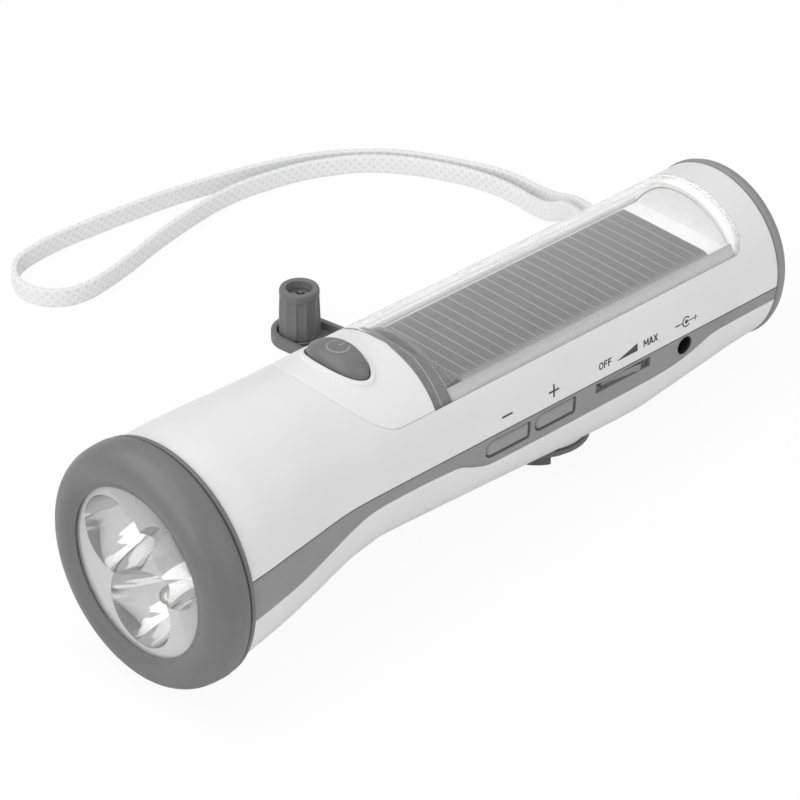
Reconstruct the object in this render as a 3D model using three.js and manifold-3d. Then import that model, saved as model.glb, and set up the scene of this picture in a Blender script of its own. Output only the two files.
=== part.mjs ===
// Hand crank flashlight with a solar panel and a radio, lying on its head ring, crank hub and crank arm.
// Sizes are in millimetres. In the torch group +X runs from the lens to the tail, +Y away from the keys
// and +Z up through the power button, with the head's axis at z = 0. The outer group tips the torch as it
// rests, with its origin at the middle of the flat tail face and +Z straight up from the table.
import * as THREE from "three";
import { mergeVertices } from "three/addons/utils/BufferGeometryUtils.js";
import Module from "manifold-3d";

// Clearances
const SEAT_GAP = 0.3;
const KEY_GAP = 0.35;
const RUN_GAP = 0.3;
const HEX_GAP = 0.36;
const OVERRUN = 2;

// Fineness of round shapes
const BODY_STEPS = 20;
const FINE_SIDES = 40;
const ROUND_SIDES = 20;
const SMALL_SIDES = 10;
const CURVE_STEPS = 6;
const OVAL_SIDES = 28;
const GRILLE_SIDES = 6;
const HEX_SIDES = 6;

// Head ring
const RING_LENGTH = 11.3;
const RING_R = 31.05;
const RING_WIDEST_SHARE = 0.86;
const LENS_SEAT_X = 1.5;
const LENS_INSET = 7.75;
const LENS_LIP = 1.7;
const RING_WALL = 3.05;
const RING_SOCKET_X = 4.2;

// The ring's outside as shares of its length and of its widest radius: rear groove, then front curve
const RING_GROOVE_SHARES = [
  [1, 0.973],
  [0.95, 0.985],
  [0.93, 0.97],
  [0.91, 0.99],
];
const RING_FRONT_SHARES = [
  [RING_WIDEST_SHARE, 1],
  [0.6, 0.999],
  [0.354, 0.9855],
  [0.106, 0.931],
  [-0.009, 0.844],
  [0, 0.773],
  [0.08, 0.718],
];

// Lens, reflector and lamps
const LENS_THICK = 0.9;
const REFLECTOR_PLATE = 1.2;
const CUP_PITCH_SHARE = 0.4421;
const CUP_SHARE = 0.4464;
const CUP_DEPTH = 11.5;
const CUP_WALL = 1;
const CUP_STEPS = 4;
const CUP_ANGLES = [-90, 30, 150];
const LED_R = 2.5;
const LED_FLANGE_R = 2.9;
const LED_FLANGE = 1;
const LED_LENGTH = 8;
const BOARD_THICK = 1.6;
const REFLECTOR_POST_R = 2;
const REFLECTOR_POST_SHARE = 0.708;
const REFLECTOR_LENGTH = 13.5;

// Body
const BODY_LENGTH = 185.6;
const GRIP_R = 22.7;
const GRIP_RISE_SHARE = 0.4097;
const WALL = 2.8;
const SPLIT_DROP = 2.3;
const HEAD_STEP = 1.54;
const NECK_WALL = 2.5;
const NECK_LIP = 1.5;

// Cross sections of the body: place along it as a share of its length, then half width, centre height,
// rise of the upper half and depth of the lower half as shares of the grip radius, then the exponent of
// the lower half (2 for an ellipse, fuller above that), and how far the section follows the head ring.
const SECTION_SHARES = [
  [0.0, 1.3, 0.0, 1.308, 1.3, 2.0, 1],
  [0.036, 1.247, 0.062, 1.304, 1.33, 2.05, 1],
  [0.076, 1.181, 0.128, 1.264, 1.361, 2.12, 0.95],
  [0.117, 1.119, 0.207, 1.198, 1.383, 2.18, 0.8],
  [0.167, 1.046, 0.295, 1.115, 1.366, 2.25, 0.55],
  [0.199, 1.013, 0.348, 1.062, 1.3, 2.35, 0.35],
  [0.23, 1.002, 0.385, 1.024, 1.218, 2.4, 0.15],
  [0.259, 1.0, 0.401, 1.009, 1.163, 2.45, 0.05],
  [0.287, 1.0, GRIP_RISE_SHARE, 1.0, 1.115, 2.5, 0],
  [0.473, 1.0, GRIP_RISE_SHARE, 1.0, 1.106, 2.9, 0],
  [0.606, 1.0, GRIP_RISE_SHARE, 1.0, 1.145, 3.0, 0],
  [0.751, 1.0, GRIP_RISE_SHARE, 1.0, 1.176, 3.0, 0],
  [0.813, 1.0, GRIP_RISE_SHARE, 1.0, 1.141, 2.8, 0],
  [0.878, 1.0, GRIP_RISE_SHARE, 1.0, 1.093, 2.6, 0],
  [0.942, 1.0, GRIP_RISE_SHARE, 1.0, 1.075, 2.3, 0],
  [1.0, 1.0, GRIP_RISE_SHARE, 1.0, 1.079, 2.1, 0],
];

// Side trims: place along the body, and drop of the lower edge below the parting line by the grip radius
const TRIM_THICK = 1.3;
const TRIM_HEAD_SHARES = [
  [-0.01, 0.471],
  [0.09, 0.471],
  [0.133, 0.423],
  [0.176, 0.335],
  [0.2085, 0.247],
  [0.241, 0.176],
  [0.284, 0.159],
];
const TRIM_CONTROL_SHARES = [
  [0.349, 0.163],
  [0.397, 0.194],
  [0.421, 0.278],
  [0.449, 0.357],
  [0.483, 0.366],
  [0.64, 0.361],
  [0.79, 0.339],
  [0.817, 0.308],
  [0.844, 0.247],
  [0.871, 0.172],
  [0.909, 0.154],
];
const TRIM_PLAIN_SHARES = [
  [0.42, 0.157],
  [0.56, 0.157],
  [0.7, 0.157],
  [0.85, 0.16],
];
const TRIM_TAIL_SHARES = [[1.01, 0.163]];
const NEAR_TRIM_SHARES = [...TRIM_HEAD_SHARES, ...TRIM_CONTROL_SHARES, ...TRIM_TAIL_SHARES];
const FAR_TRIM_SHARES = [...TRIM_HEAD_SHARES, ...TRIM_PLAIN_SHARES, ...TRIM_TAIL_SHARES];

// Inlay on the upper shell: a front panel round the button, and the window over the solar cell
const INLAY_THICK = 1.6;
const INLAY_FRONT_SHARE = 0.21606;
const INLAY_TAIL = 9.5;
const INLAY_HALF_ANGLE = 60;
const INLAY_NOSE = 16.3;
const INLAY_CORNER = 4;
const WINDOW_SHARE = 0.36315;
const WINDOW_SWEEP = 6;
const WINDOW_LEDGE = 3;

// Solar cell and its tray
const CELL_START_SHARE = 0.43211;
const CELL_LENGTH_SHARE = 0.46444;
const CELL_WIDTH_SHARE = 1.2467;
const CELL_RISE_SHARE = 0.5419;
const CELL_THICK = 0.8;
const TRAY_THICK = 1.6;

// Power button: an oval across the body, whose dome follows the body's curve.
// Its levels are shares of the dome's height and of the outline.
const BUTTON_SHARE = 0.29149;
const BUTTON_FRONT = 5.8;
const BUTTON_REAR = 4.1;
const BUTTON_HALF_WIDTH = 9.6;
const BUTTON_SINK = 0.3;
const BUTTON_DOME = 3.5;
const BUTTON_FLANGE = 1.2;
const BUTTON_TRAVEL = 0.8;
const BUTTON_STEM_R = 2.5;
const BUTTON_LEVEL_SHARES = [
  [0, 1],
  [0.4, 0.97],
  [0.7, 0.86],
  [0.88, 0.68],
  [0.97, 0.42],
];
const COLLAR_WIDTH = 1.2;
const COLLAR_RISE = 0.7;

// Scan keys: front end and length as shares of the body length, and drop below the parting line
const MINUS_SHARE = 0.44235;
const MINUS_LENGTH_SHARE = 0.07866;
const MINUS_DROP = 5.9;
const PLUS_SHARE = 0.53233;
const PLUS_LENGTH_SHARE = 0.07328;
const PLUS_DROP = 5.5;
const KEY_HEIGHT = 4.4;
const KEY_ROUND = 2;
const KEY_RECESS = 0.8;
const KEY_FLANGE = 0.85;
const KEY_FLANGE_SINK = 3.7;
const KEY_FLANGE_THICK = 0.8;
const KEY_TRAVEL = 0.6;

// Volume slider
const SLOT_SHARE = 0.64494;
const SLOT_LENGTH_SHARE = 0.10399;
const SLOT_DROP = 3.5;
const SLOT_HEIGHT = 2.8;
const SLIDER_LENGTH_SHARE = 0.07112;
const SLIDER_SINK = 1.4;
const SLIDER_LEVER = 3;
const SLIDER_STEPS = 4;
const SLIDER_STEP_SHARE = 0.8;

// Charging socket
const JACK_SHARE = 0.81681;
const JACK_DROP = 3;
const JACK_HOLE_R = 2.55;
const JACK_WIDTH = 9;
const JACK_LENGTH = 11;
const JACK_SINK = 3.9;
const JACK_BORE = 9;
const JACK_PIN_R = 0.65;
const JACK_PIN_SINK = 1;

// Main board and what stands on it
const BOARD_SHARE = 0.21929;
const BOARD_LENGTH_SHARE = 0.67888;
const BOARD_INSET = 5.5;
const SWITCH_WIDTH = 6;
const SWITCH_HEIGHT = 3.5;
const SWITCH_PLUNGER = 0.8;
const SWITCH_PLUNGER_R = 1.5;
const SIDE_SWITCH_DEPTH_SHARE = 0.1762;
const PRESS_SPARE = 0.2;
const POT_LENGTH_SHARE = 0.12931;
const POT_DEPTH = 5;
const POT_DROP = 6.4;
const POT_SINK = 5.5;
const BATTERY_SIZE_SHARE = 0.3392;
const BATTERY_THICK_SHARE = 0.2291;
const BATTERY_GAP = 1.1;
const BATTERY_SHARE = 0.43481;
const HOLDER_WALL = 1;

// Screws and their posts
const SCREW_R = 1.1;
const SCREW_HOLE_R = 1.4;
const SCREW_HEAD_R = 2.5;
const SCREW_HEAD = 1.6;
const NECK_POST_GAP = 2;
const NECK_SCREW_INSET = 9.2;
const NECK_SCREW_SEAT = 7.4;
const NECK_SCREW_TOP = 6;
const NECK_POST_R = 3.7;
const REAR_POST_SHARE = 0.87662;
const REAR_POST_Y = 11;
const POST_R = 2.2;
const TAIL_SCREW_SIDE_SHARE = 0.4185;
const TAIL_SCREW_DROP_SHARE = 0.7841;
const TAIL_SCREW_LENGTH = 12;
const TAIL_BOSS_R = 2.4;
const TAIL_BOSS_LENGTH = 12.9;

// Tail cap and speaker
const CAP_LENGTH = 3;
const CAP_PLATE = 1.6;
const CAP_BULGE = 0.35;
const CAP_ROUND = 1;
const SPIGOT_LENGTH = 3.3;
const SPIGOT_WALL = 1.5;
const SPEAKER_SHARE = 0.6608;
const SPEAKER_DROP = 0.8;
const SPEAKER_RIM = 1.4;
const SPEAKER_DEPTH = 12;
const SPEAKER_WALL = 1.3;
const SPEAKER_STEP = 1.1;
const MAGNET_SHARE = 0.533;
const GRILLE_HOLE_R = 1.15;

// Rings of grille holes: radius as a share of the speaker's, and number of holes
const GRILLE_SHARES = [
  [0.44, 6],
  [0.707, 12],
];

// Crank hub, hinge, arm and knob
const HUB_SHARE = 0.6611;
const ARM_ANGLE = 96.9;
const PAD_DROP_SHARE = 1.1674;
const PAD_R = 13;
const FLANGE_R = 13.7;
const FLANGE_DEPTH = 1.4;
const BOSS_R = 10.9;
const BOSS_DEPTH = 5.8;
const BOSS_EDGE = 0.5;
const HINGE_SLOT_HALF = 5.7;
const HINGE_DEPTH = 3.6;
const HINGE_PIN_R = 1;
const ARM_THICK = 3.2;
const ARM_LENGTH = 77.7;
const ARM_END_R = 7.6;
const ARM_ROOT_HALF = 9.6;
const ARM_RIM = 1.6;
const ARM_FLOOR = 1.1;
const KNOB_BASE_R = 5.7;
const KNOB_TOP_R = 5.3;
const KNOB_HEIGHT = 13.4;
const KNOB_FLUTES = 12;
const KNOB_FLUTE_DEPTH = 0.35;
const KNOB_EDGE = 0.9;
const KNOB_PLAIN_TOP = 2.2;
const KNOB_POST_R = 2.6;
const KNOB_WELL_R = 3.45;
const KNOB_WELL = 6.5;
const WASHER_THICK = 0.5;
const WASHER_R = 5.5;
const KNOB_SCREW_HEAD = 1.5;
const KNOB_SCREW_LENGTH = 5;

// Stow slot for the knob under the head
const STOW_GAP = 0.25;
const STOW_ROOF_GAP = 0.7;
const STOW_WALL = 1.8;
const STOW_MOUTH_ANGLE = 150;
const ARM_RELIEF_GAP = 0.6;

// Gear train: pitch radius per tooth as a share of the grip radius, and a tooth's height and depth
// from the pitch circle as shares of that; the stack's heights are shares of the grip radius
const TOOTH_PITCH_SHARE = 0.02203;
const TOOTH_TIP_HEIGHT_SHARE = 1.8;
const TOOTH_ROOT_DEPTH_SHARE = 2.4;
const TOOTH_ROOT_SHARE = 0.33;
const TOOTH_TIP_SHARE = 0.12;
const CRANK_TEETH = 28;
const PINION_TEETH = 8;
const IDLER_TEETH = 24;
const GEAR_THICK_SHARE = 0.1101;
const CRANK_GEAR_LIFT_SHARE = 0.3612;
const IDLER_STEP_SHARE = 0.0264;
const IDLER_THICK_SHARE = 0.0881;
const SHAFT_R = 4;
const SHAFT_TIP_R = 3.2;
const BUSH_WALL = 1.8;
const BUSH_BOSS_WALL = 2;
const BUSH_LENGTH = 4.7;
const AXLE_R = 1.2;
const AXLE_BOSS_R = 3;
const PLATE_LIFT_SHARE = 0.0441;
const PLATE_THICK_SHARE = 0.0529;
const PLATE_INSET = 7.2;
const PLATE_MARGIN = 4;
const PLATE_FRONT_POST_AHEAD = 12;
const PLATE_FRONT_POST_INSET = 2.3;
const PLATE_REAR_POST_BEHIND = 18;
const PLATE_REAR_POST_INSET = 4;
const GENERATOR_SIZE_SHARE = 0.4846;
const GENERATOR_SHAFT_R = 1;

// Wrist strap: a flat braid that stands on its edge on the table
const STRAP_WIDTH = 5.4;
const STRAP_THICK = 2;
const STRAP_SLOT_TAIL = 6.9;
const STRAP_SLOT_WIDTH = 6.2;
const STRAP_SLOT_DROP = 7.6;
const STRAP_SLOT_HEIGHT = 6.2;
const STRAP_BAR_R = 0.9;
const STRAP_BAR_SINK = 6.3;
const STRAP_BAR_FOOT = 1;
const STRAP_BAR_LENGTH = 8;
const STRAP_STEPS = 80;

// Route of the strap from the middle of its slot's mouth: x and y, and how far it is raised, from 0 where
// it lies on the table on its edge to 1 at the slot
const STRAP_ROUTE_SHARES = [
  [1.4, -3.1, 1.004],
  [1.4, 3.3, 0.998],
  [3, 10.8, 0.963],
  [6.6, 19.3, 0.853],
  [11.9, 29.1, 0.632],
  [16.9, 38.3, 0.361],
  [20.6, 46.8, 0.13],
  [22.6, 55.8, 0.01],
  [22.6, 63.2, 0],
  [21.4, 69.9, 0],
  [18.8, 77, 0],
  [15.8, 83.8, 0],
  [12, 91.5, 0],
  [7, 98.9, 0],
  [1.6, 104.5, 0],
  [-4.6, 109.5, 0],
  [-12.4, 114.3, 0],
  [-21.6, 118.5, 0],
  [-33.6, 122.7, 0],
  [-44.9, 126.1, 0],
  [-57.3, 128.7, 0],
  [-69.7, 130.7, 0],
  [-81.8, 132.3, 0],
  [-93, 132.3, 0],
  [-98.9, 130.7, 0],
  [-103.3, 126.3, 0],
  [-104.9, 120.4, 0],
  [-103.3, 114.5, 0],
  [-98.9, 110.1, 0],
  [-93, 108.5, 0],
  [-85.8, 108.9, 0],
  [-76.7, 110.4, 0],
  [-65.4, 112.9, 0],
  [-52.6, 114.9, 0],
  [-40.5, 115.9, 0],
  [-31.3, 115.3, 0],
  [-22, 113.1, 0],
  [-13.8, 110.3, 0],
  [-6.6, 106.5, 0],
  [0, 101.7, 0],
  [4.8, 96.5, 0],
  [9.6, 89.3, 0],
  [13.2, 81.7, 0],
  [16, 74.3, 0],
  [17.6, 66.7, 0],
  [18.1, 60.3, 0],
  [17.6, 53.8, 0.01],
  [16, 47.1, 0.09],
  [13.2, 40.3, 0.281],
  [9.4, 32.9, 0.552],
  [5.4, 25.7, 0.753],
  [1.8, 18.3, 0.883],
  [-0.6, 10.8, 0.973],
  [-1.4, 3.3, 0.998],
  [-1.4, -3.1, 1.004],
];

// Places worked out from the sizes above
const FULL_TURN = 2 * Math.PI;
const BODY_FRONT = RING_LENGTH + SEAT_GAP;
const BODY_TAIL = RING_LENGTH + BODY_LENGTH;
const GRIP_Z = GRIP_RISE_SHARE * GRIP_R;
const SPLIT_Z = GRIP_Z - SPLIT_DROP;
const HEAD_UNIT_R = (RING_R - HEAD_STEP) / SECTION_SHARES[0][1];
const LENS_POCKET_R = RING_R - LENS_INSET;
const LENS_OPENING_R = LENS_POCKET_R - LENS_LIP;
const NECK_R = RING_R - RING_WALL;
const NECK_LIP_R = LENS_POCKET_R - NECK_LIP;
const LED_BOARD_R = NECK_LIP_R - SEAT_GAP;
const CUP_PITCH_R = CUP_PITCH_SHARE * LENS_POCKET_R;
const CUP_R = CUP_SHARE * LENS_POCKET_R;
const REFLECTOR_POST_PITCH_R = REFLECTOR_POST_SHARE * LENS_POCKET_R;
const LENS_X = LENS_SEAT_X + SEAT_GAP;
const REFLECTOR_X = LENS_X + LENS_THICK + SEAT_GAP;
const NECK_X = RING_SOCKET_X + SEAT_GAP;
const LED_BOARD_X = REFLECTOR_X + REFLECTOR_LENGTH + SEAT_GAP;
const TRIM_SEAT = TRIM_THICK + SEAT_GAP;
const INLAY_SEAT = INLAY_THICK + SEAT_GAP;
const INLAY_HALF = GRIP_R * Math.sin(THREE.MathUtils.degToRad(INLAY_HALF_ANGLE));
const INLAY_FRONT_X = alongBody(INLAY_FRONT_SHARE);
const INLAY_TAIL_X = BODY_TAIL - INLAY_TAIL;
const WINDOW_X = alongBody(WINDOW_SHARE);
const WINDOW_EDGE_X = WINDOW_X + WINDOW_SWEEP;
const CELL_X = alongBody(CELL_START_SHARE);
const CELL_LENGTH = CELL_LENGTH_SHARE * BODY_LENGTH;
const CELL_WIDTH = CELL_WIDTH_SHARE * GRIP_R;
const CELL_TOP_Z = GRIP_Z + CELL_RISE_SHARE * GRIP_R;
const TRAY_X = WINDOW_EDGE_X;
const TRAY_TAIL_X = INLAY_TAIL_X - WINDOW_LEDGE + TRAY_THICK;
const TRAY_TOP_Z = CELL_TOP_Z - CELL_THICK - SEAT_GAP;
const BUTTON_X = alongBody(BUTTON_SHARE);
const MINUS_X = alongBody(MINUS_SHARE);
const MINUS_LENGTH = MINUS_LENGTH_SHARE * BODY_LENGTH;
const MINUS_Z = SPLIT_Z - MINUS_DROP;
const PLUS_X = alongBody(PLUS_SHARE);
const PLUS_LENGTH = PLUS_LENGTH_SHARE * BODY_LENGTH;
const PLUS_Z = SPLIT_Z - PLUS_DROP;
const KEY_FLANGE_Y = GRIP_R - KEY_FLANGE_SINK;
const SLOT_X = alongBody(SLOT_SHARE);
const SLOT_LENGTH = SLOT_LENGTH_SHARE * BODY_LENGTH;
const SLOT_Z = SPLIT_Z - SLOT_DROP;
const SLIDER_LENGTH = SLIDER_LENGTH_SHARE * BODY_LENGTH;
const JACK_X = alongBody(JACK_SHARE);
const JACK_Z = SPLIT_Z - JACK_DROP;
const JACK_FRONT_Y = GRIP_R - JACK_SINK;
const BOARD_X = alongBody(BOARD_SHARE);
const BOARD_LENGTH = BOARD_LENGTH_SHARE * BODY_LENGTH;
const BOARD_HALF = GRIP_R - BOARD_INSET;
const BOARD_Z = GRIP_Z - SEAT_GAP;
const SIDE_SWITCH_DEPTH = SIDE_SWITCH_DEPTH_SHARE * GRIP_R;
const POT_LENGTH = POT_LENGTH_SHARE * BODY_LENGTH;
const POT_Z = SPLIT_Z - POT_DROP;
const POT_FRONT_Y = GRIP_R - POT_SINK;
const BATTERY_R = BATTERY_SIZE_SHARE * GRIP_R;
const BATTERY_THICK = BATTERY_THICK_SHARE * GRIP_R;
const BATTERY_PITCH = 2 * BATTERY_R + BATTERY_GAP;
const HOLDER_HEIGHT = BATTERY_THICK - HOLDER_WALL;
const BOARD_TOP_Z = BOARD_Z + BOARD_THICK;
const UNDER_BOARD_Z = BOARD_Z - SEAT_GAP;
const ON_BOARD_Z = BOARD_TOP_Z + SEAT_GAP;
const SWITCH_TOP_Z = ON_BOARD_Z + SWITCH_HEIGHT + SWITCH_PLUNGER;
const CAP_X = BODY_TAIL + SEAT_GAP;
const CAP_END = CAP_X + CAP_LENGTH;
const SPEAKER_FRONT_X = CAP_X - SPEAKER_STEP + SEAT_GAP;
const SPEAKER_R = SPEAKER_SHARE * GRIP_R;
const SPEAKER_Z = GRIP_Z - SPEAKER_DROP;
const MAGNET_R = MAGNET_SHARE * SPEAKER_R;
const HUB_X = alongBody(HUB_SHARE);
const PAD_Z = GRIP_Z - PAD_DROP_SHARE * GRIP_R;
const FLANGE_TOP_Z = PAD_Z - SEAT_GAP;
const FLANGE_BOTTOM_Z = PAD_Z - FLANGE_DEPTH;
const BOSS_BOTTOM_Z = PAD_Z - BOSS_DEPTH;
const HINGE_Z = PAD_Z - HINGE_DEPTH;
const TOOTH_PITCH_R = TOOTH_PITCH_SHARE * GRIP_R;
const CRANK_PITCH_R = TOOTH_PITCH_R * CRANK_TEETH;
const PINION_PITCH_R = TOOTH_PITCH_R * PINION_TEETH;
const IDLER_PITCH_R = TOOTH_PITCH_R * IDLER_TEETH;
const GENERATOR_R = GENERATOR_SIZE_SHARE * GRIP_R;
const IDLER_X = HUB_X - CRANK_PITCH_R - PINION_PITCH_R;
const GENERATOR_X = IDLER_X - IDLER_PITCH_R - PINION_PITCH_R;
const CRANK_GEAR_Z = PAD_Z + CRANK_GEAR_LIFT_SHARE * GRIP_R;
const CRANK_GEAR_TOP_Z = CRANK_GEAR_Z + GEAR_THICK_SHARE * GRIP_R;
const IDLER_GEAR_Z = CRANK_GEAR_TOP_Z + IDLER_STEP_SHARE * GRIP_R;
const IDLER_TOP_Z = IDLER_GEAR_Z + IDLER_THICK_SHARE * GRIP_R;
const PLATE_Z = IDLER_TOP_Z + PLATE_LIFT_SHARE * GRIP_R;
const PLATE_TOP_Z = PLATE_Z + PLATE_THICK_SHARE * GRIP_R;
const PLATE_HALF = GRIP_R - PLATE_INSET;
const PLATE_FRONT_POST = [GENERATOR_X - PLATE_FRONT_POST_AHEAD, PLATE_HALF - PLATE_FRONT_POST_INSET];
const PLATE_REAR_POST = [HUB_X + PLATE_REAR_POST_BEHIND, PLATE_HALF - PLATE_REAR_POST_INSET];
const NECK_SCREW_X = TRAY_X - NECK_POST_GAP - NECK_POST_R;
const NECK_SCREW_Y = GRIP_R - NECK_SCREW_INSET;
const NECK_SCREW_SEAT_Z = PAD_Z + NECK_SCREW_SEAT;
const NECK_SCREW_TOP_Z = BOARD_Z + NECK_SCREW_TOP;
const REAR_POST_X = alongBody(REAR_POST_SHARE);
const TAIL_SCREW_Y = TAIL_SCREW_SIDE_SHARE * GRIP_R;
const TAIL_SCREW_Z = GRIP_Z - TAIL_SCREW_DROP_SHARE * GRIP_R;
const TAIL_BOSS_X = BODY_TAIL - TAIL_BOSS_LENGTH;
const TAIL_SCREW_END_X = CAP_END - TAIL_SCREW_LENGTH;
const STRAP_SLOT_X = BODY_TAIL - STRAP_SLOT_TAIL;
const STRAP_SLOT_Z = SPLIT_Z - STRAP_SLOT_DROP;
const STRAP_BAR_Y = GRIP_R - STRAP_BAR_SINK;
const STRAP_BAR_Z = STRAP_SLOT_Z - STRAP_BAR_FOOT;
const STRAP_REST = (STRAP_WIDTH + SEAT_GAP) / 2;
const GENERATOR_Z = PLATE_TOP_Z + SEAT_GAP;
const KNOB_Z = ARM_FLOOR - ARM_THICK / 2 + WASHER_THICK + 2 * SEAT_GAP;

// The table's slope in the torch frame: it touches the head ring and the hub's rearmost bottom edge
const RING_CONTACT_X = RING_LENGTH * RING_WIDEST_SHARE;
const HUB_CONTACT_X = HUB_X + BOSS_R - BOSS_EDGE;
const TABLE_SLOPE = (RING_R + BOSS_BOTTOM_Z) / (HUB_CONTACT_X - RING_CONTACT_X);
const TILT = Math.atan(TABLE_SLOPE);
const ARM_REACH = ARM_LENGTH + ARM_END_R;
const ARM_TURN = THREE.MathUtils.degToRad(ARM_ANGLE);
const ARM_END_TABLE_Z = tableHeight(HUB_X + ARM_REACH * Math.cos(ARM_TURN));
const ARM_DROOP = Math.asin((HINGE_Z - ARM_THICK / 2 - ARM_END_TABLE_Z) / ARM_REACH);
const KNOB_TOP_Z = HINGE_Z - ARM_LENGTH * Math.sin(ARM_DROOP) + KNOB_Z + KNOB_HEIGHT;

const wasm = await Module();
wasm.setup();

// A place along the body at a share of its length
function alongBody(share) {
  return RING_LENGTH + share * BODY_LENGTH;
}

// The table's height under the torch at x
function tableHeight(x) {
  return -RING_R + TABLE_SLOPE * (x - RING_CONTACT_X);
}

// A closed three.js geometry as a solid that can be joined and cut
function solid(geometry) {
  const bare = geometry.clone();
  bare.deleteAttribute("normal");
  bare.deleteAttribute("uv");
  const merged = mergeVertices(bare);
  const corners = [];
  for (let i = 0; i < merged.index.count; i += 3) {
    const [a, b, c] = merged.index.array.subarray(i, i + 3);
    if (a !== b && b !== c && c !== a) corners.push(a, b, c);
  }
  return new wasm.Manifold(
    new wasm.Mesh({
      numProp: 3,
      vertProperties: merged.attributes.position.array,
      triVerts: new Uint32Array(corners),
    }),
  );
}

function geometryOf(body) {
  const made = body.getMesh();
  const geometry = new THREE.BufferGeometry();
  geometry.setAttribute("position", new THREE.BufferAttribute(made.vertProperties, made.numProp));
  geometry.setIndex(new THREE.BufferAttribute(made.triVerts, 1));
  geometry.computeVertexNormals();
  return geometry;
}

function joined(...bodies) {
  return bodies.reduce((whole, body) => whole.add(body));
}

function box(x0, x1, y0, y1, z0, z1) {
  const geometry = new THREE.BoxGeometry(x1 - x0, y1 - y0, z1 - z0);
  geometry.translate((x0 + x1) / 2, (y0 + y1) / 2, (z0 + z1) / 2);
  return solid(geometry);
}

// A round bar that stands along Z, or lies along X or Y
function post(x, y, r, z0, z1, sides = ROUND_SIDES) {
  const geometry = new THREE.CylinderGeometry(r, r, z1 - z0, sides);
  geometry.rotateX(Math.PI / 2);
  geometry.translate(x, y, (z0 + z1) / 2);
  return solid(geometry);
}

function rodX(y, z, r, x0, x1, sides = ROUND_SIDES) {
  const geometry = new THREE.CylinderGeometry(r, r, x1 - x0, sides);
  geometry.rotateZ(-Math.PI / 2);
  geometry.translate((x0 + x1) / 2, y, z);
  return solid(geometry);
}

function rodY(x, z, r, y0, y1, sides = ROUND_SIDES) {
  const geometry = new THREE.CylinderGeometry(r, r, y1 - y0, sides);
  geometry.translate(x, (y0 + y1) / 2, z);
  return solid(geometry);
}

// A profile of [x, radius] pairs turned about a line along X, its faces out whichever way it is drawn
function turnedX(profile, y = 0, z = 0, sides = FINE_SIDES) {
  const points = profile.map(([x, r]) => new THREE.Vector2(r, x));
  const turn = (drawn) =>
    solid(new THREE.LatheGeometry(drawn, sides).rotateZ(-Math.PI / 2).translate(0, y, z));
  const body = turn(points);
  return body.volume() < 0 ? turn(points.reverse()) : body;
}

function extruded(shape, depth) {
  return new THREE.ExtrudeGeometry(shape, {
    depth,
    bevelEnabled: false,
    curveSegments: CURVE_STEPS,
  });
}

// A plan outline raised from z0 to z1, and a side outline in X and Z carried from y0 to y1
function plate(shape, z0, z1) {
  return solid(extruded(shape, z1 - z0).translate(0, 0, z0));
}

function sidePlate(shape, y0, y1) {
  return solid(extruded(shape, y1 - y0).rotateX(Math.PI / 2).translate(0, y1, 0));
}

// A solid skinned over rings of points, closed by a fan at each end
function skinned(rings) {
  const count = rings[0].length;
  const points = rings.flat();
  const corners = [];
  for (let i = 0; i + 1 < rings.length; i++)
    for (let j = 0; j < count; j++) {
      const a = i * count + j;
      const b = i * count + ((j + 1) % count);
      corners.push(a, b, a + count, b, b + count, a + count);
    }
  const ends = [rings[0], rings[rings.length - 1]];
  const middles = ends.map((ring) =>
    ring.reduce((sum, p) => sum.add(p), new THREE.Vector3()).divideScalar(count),
  );
  const last = (rings.length - 1) * count;
  for (let j = 0; j < count; j++) {
    const next = (j + 1) % count;
    corners.push(points.length, next, j);
    corners.push(points.length + 1, last + j, last + next);
  }
  const geometry = new THREE.BufferGeometry().setFromPoints([...points, ...middles]);
  geometry.setIndex(corners);
  return solid(geometry);
}

// One column of the section table at a share of the body length, on a smooth curve through the rows
function sectionValue(along, column) {
  const rows = SECTION_SHARES;
  let i = 0;
  while (i < rows.length - 2 && rows[i + 1][0] < along) i++;
  const slope = (k) => {
    const before = rows[Math.max(k - 1, 0)];
    const after = rows[Math.min(k + 1, rows.length - 1)];
    return (after[column] - before[column]) / (after[0] - before[0]);
  };
  const span = rows[i + 1][0] - rows[i][0];
  const t = (along - rows[i][0]) / span;
  const startWeight = 2 * t ** 3 - 3 * t ** 2 + 1;
  const startPull = (t ** 3 - 2 * t ** 2 + t) * span * slope(i);
  const endPull = (t ** 3 - t ** 2) * span * slope(i + 1);
  return (
    startWeight * rows[i][column] + startPull + (1 - startWeight) * rows[i + 1][column] + endPull
  );
}

// The body's outline at x, drawn in by inset: half an ellipse above the widest line, and below it a
// superellipse, whose power makes the belly fuller
function bodyRing(x, inset) {
  const along = THREE.MathUtils.clamp((x - RING_LENGTH) / BODY_LENGTH, 0, 1);
  const unit = THREE.MathUtils.lerp(GRIP_R, HEAD_UNIT_R, sectionValue(along, 6));
  const [half, centre, rise, depth] = [1, 2, 3, 4].map((c) => sectionValue(along, c) * unit);
  const power = 2 / sectionValue(along, 5);
  return Array.from({ length: 2 * BODY_STEPS }, (_, i) => {
    const turn = (FULL_TURN * i) / (2 * BODY_STEPS);
    const [c, s] = [Math.cos(turn), Math.sin(turn)];
    const above = i <= BODY_STEPS;
    const across = above ? c : Math.sign(c) * Math.abs(c) ** power;
    const up = above ? Math.max(s, 0) * (rise - inset) : -(Math.abs(s) ** power) * (depth - inset);
    return new THREE.Vector3(x, across * (half - inset), centre + up);
  });
}

function bodyLoft(from, to, inset) {
  const places = SECTION_SHARES.map(([along]) => alongBody(along));
  const inner = places.filter((x) => x > from + SEAT_GAP && x < to - SEAT_GAP);
  return skinned([from, ...inner, to].map((x) => bodyRing(x, inset)));
}

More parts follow.
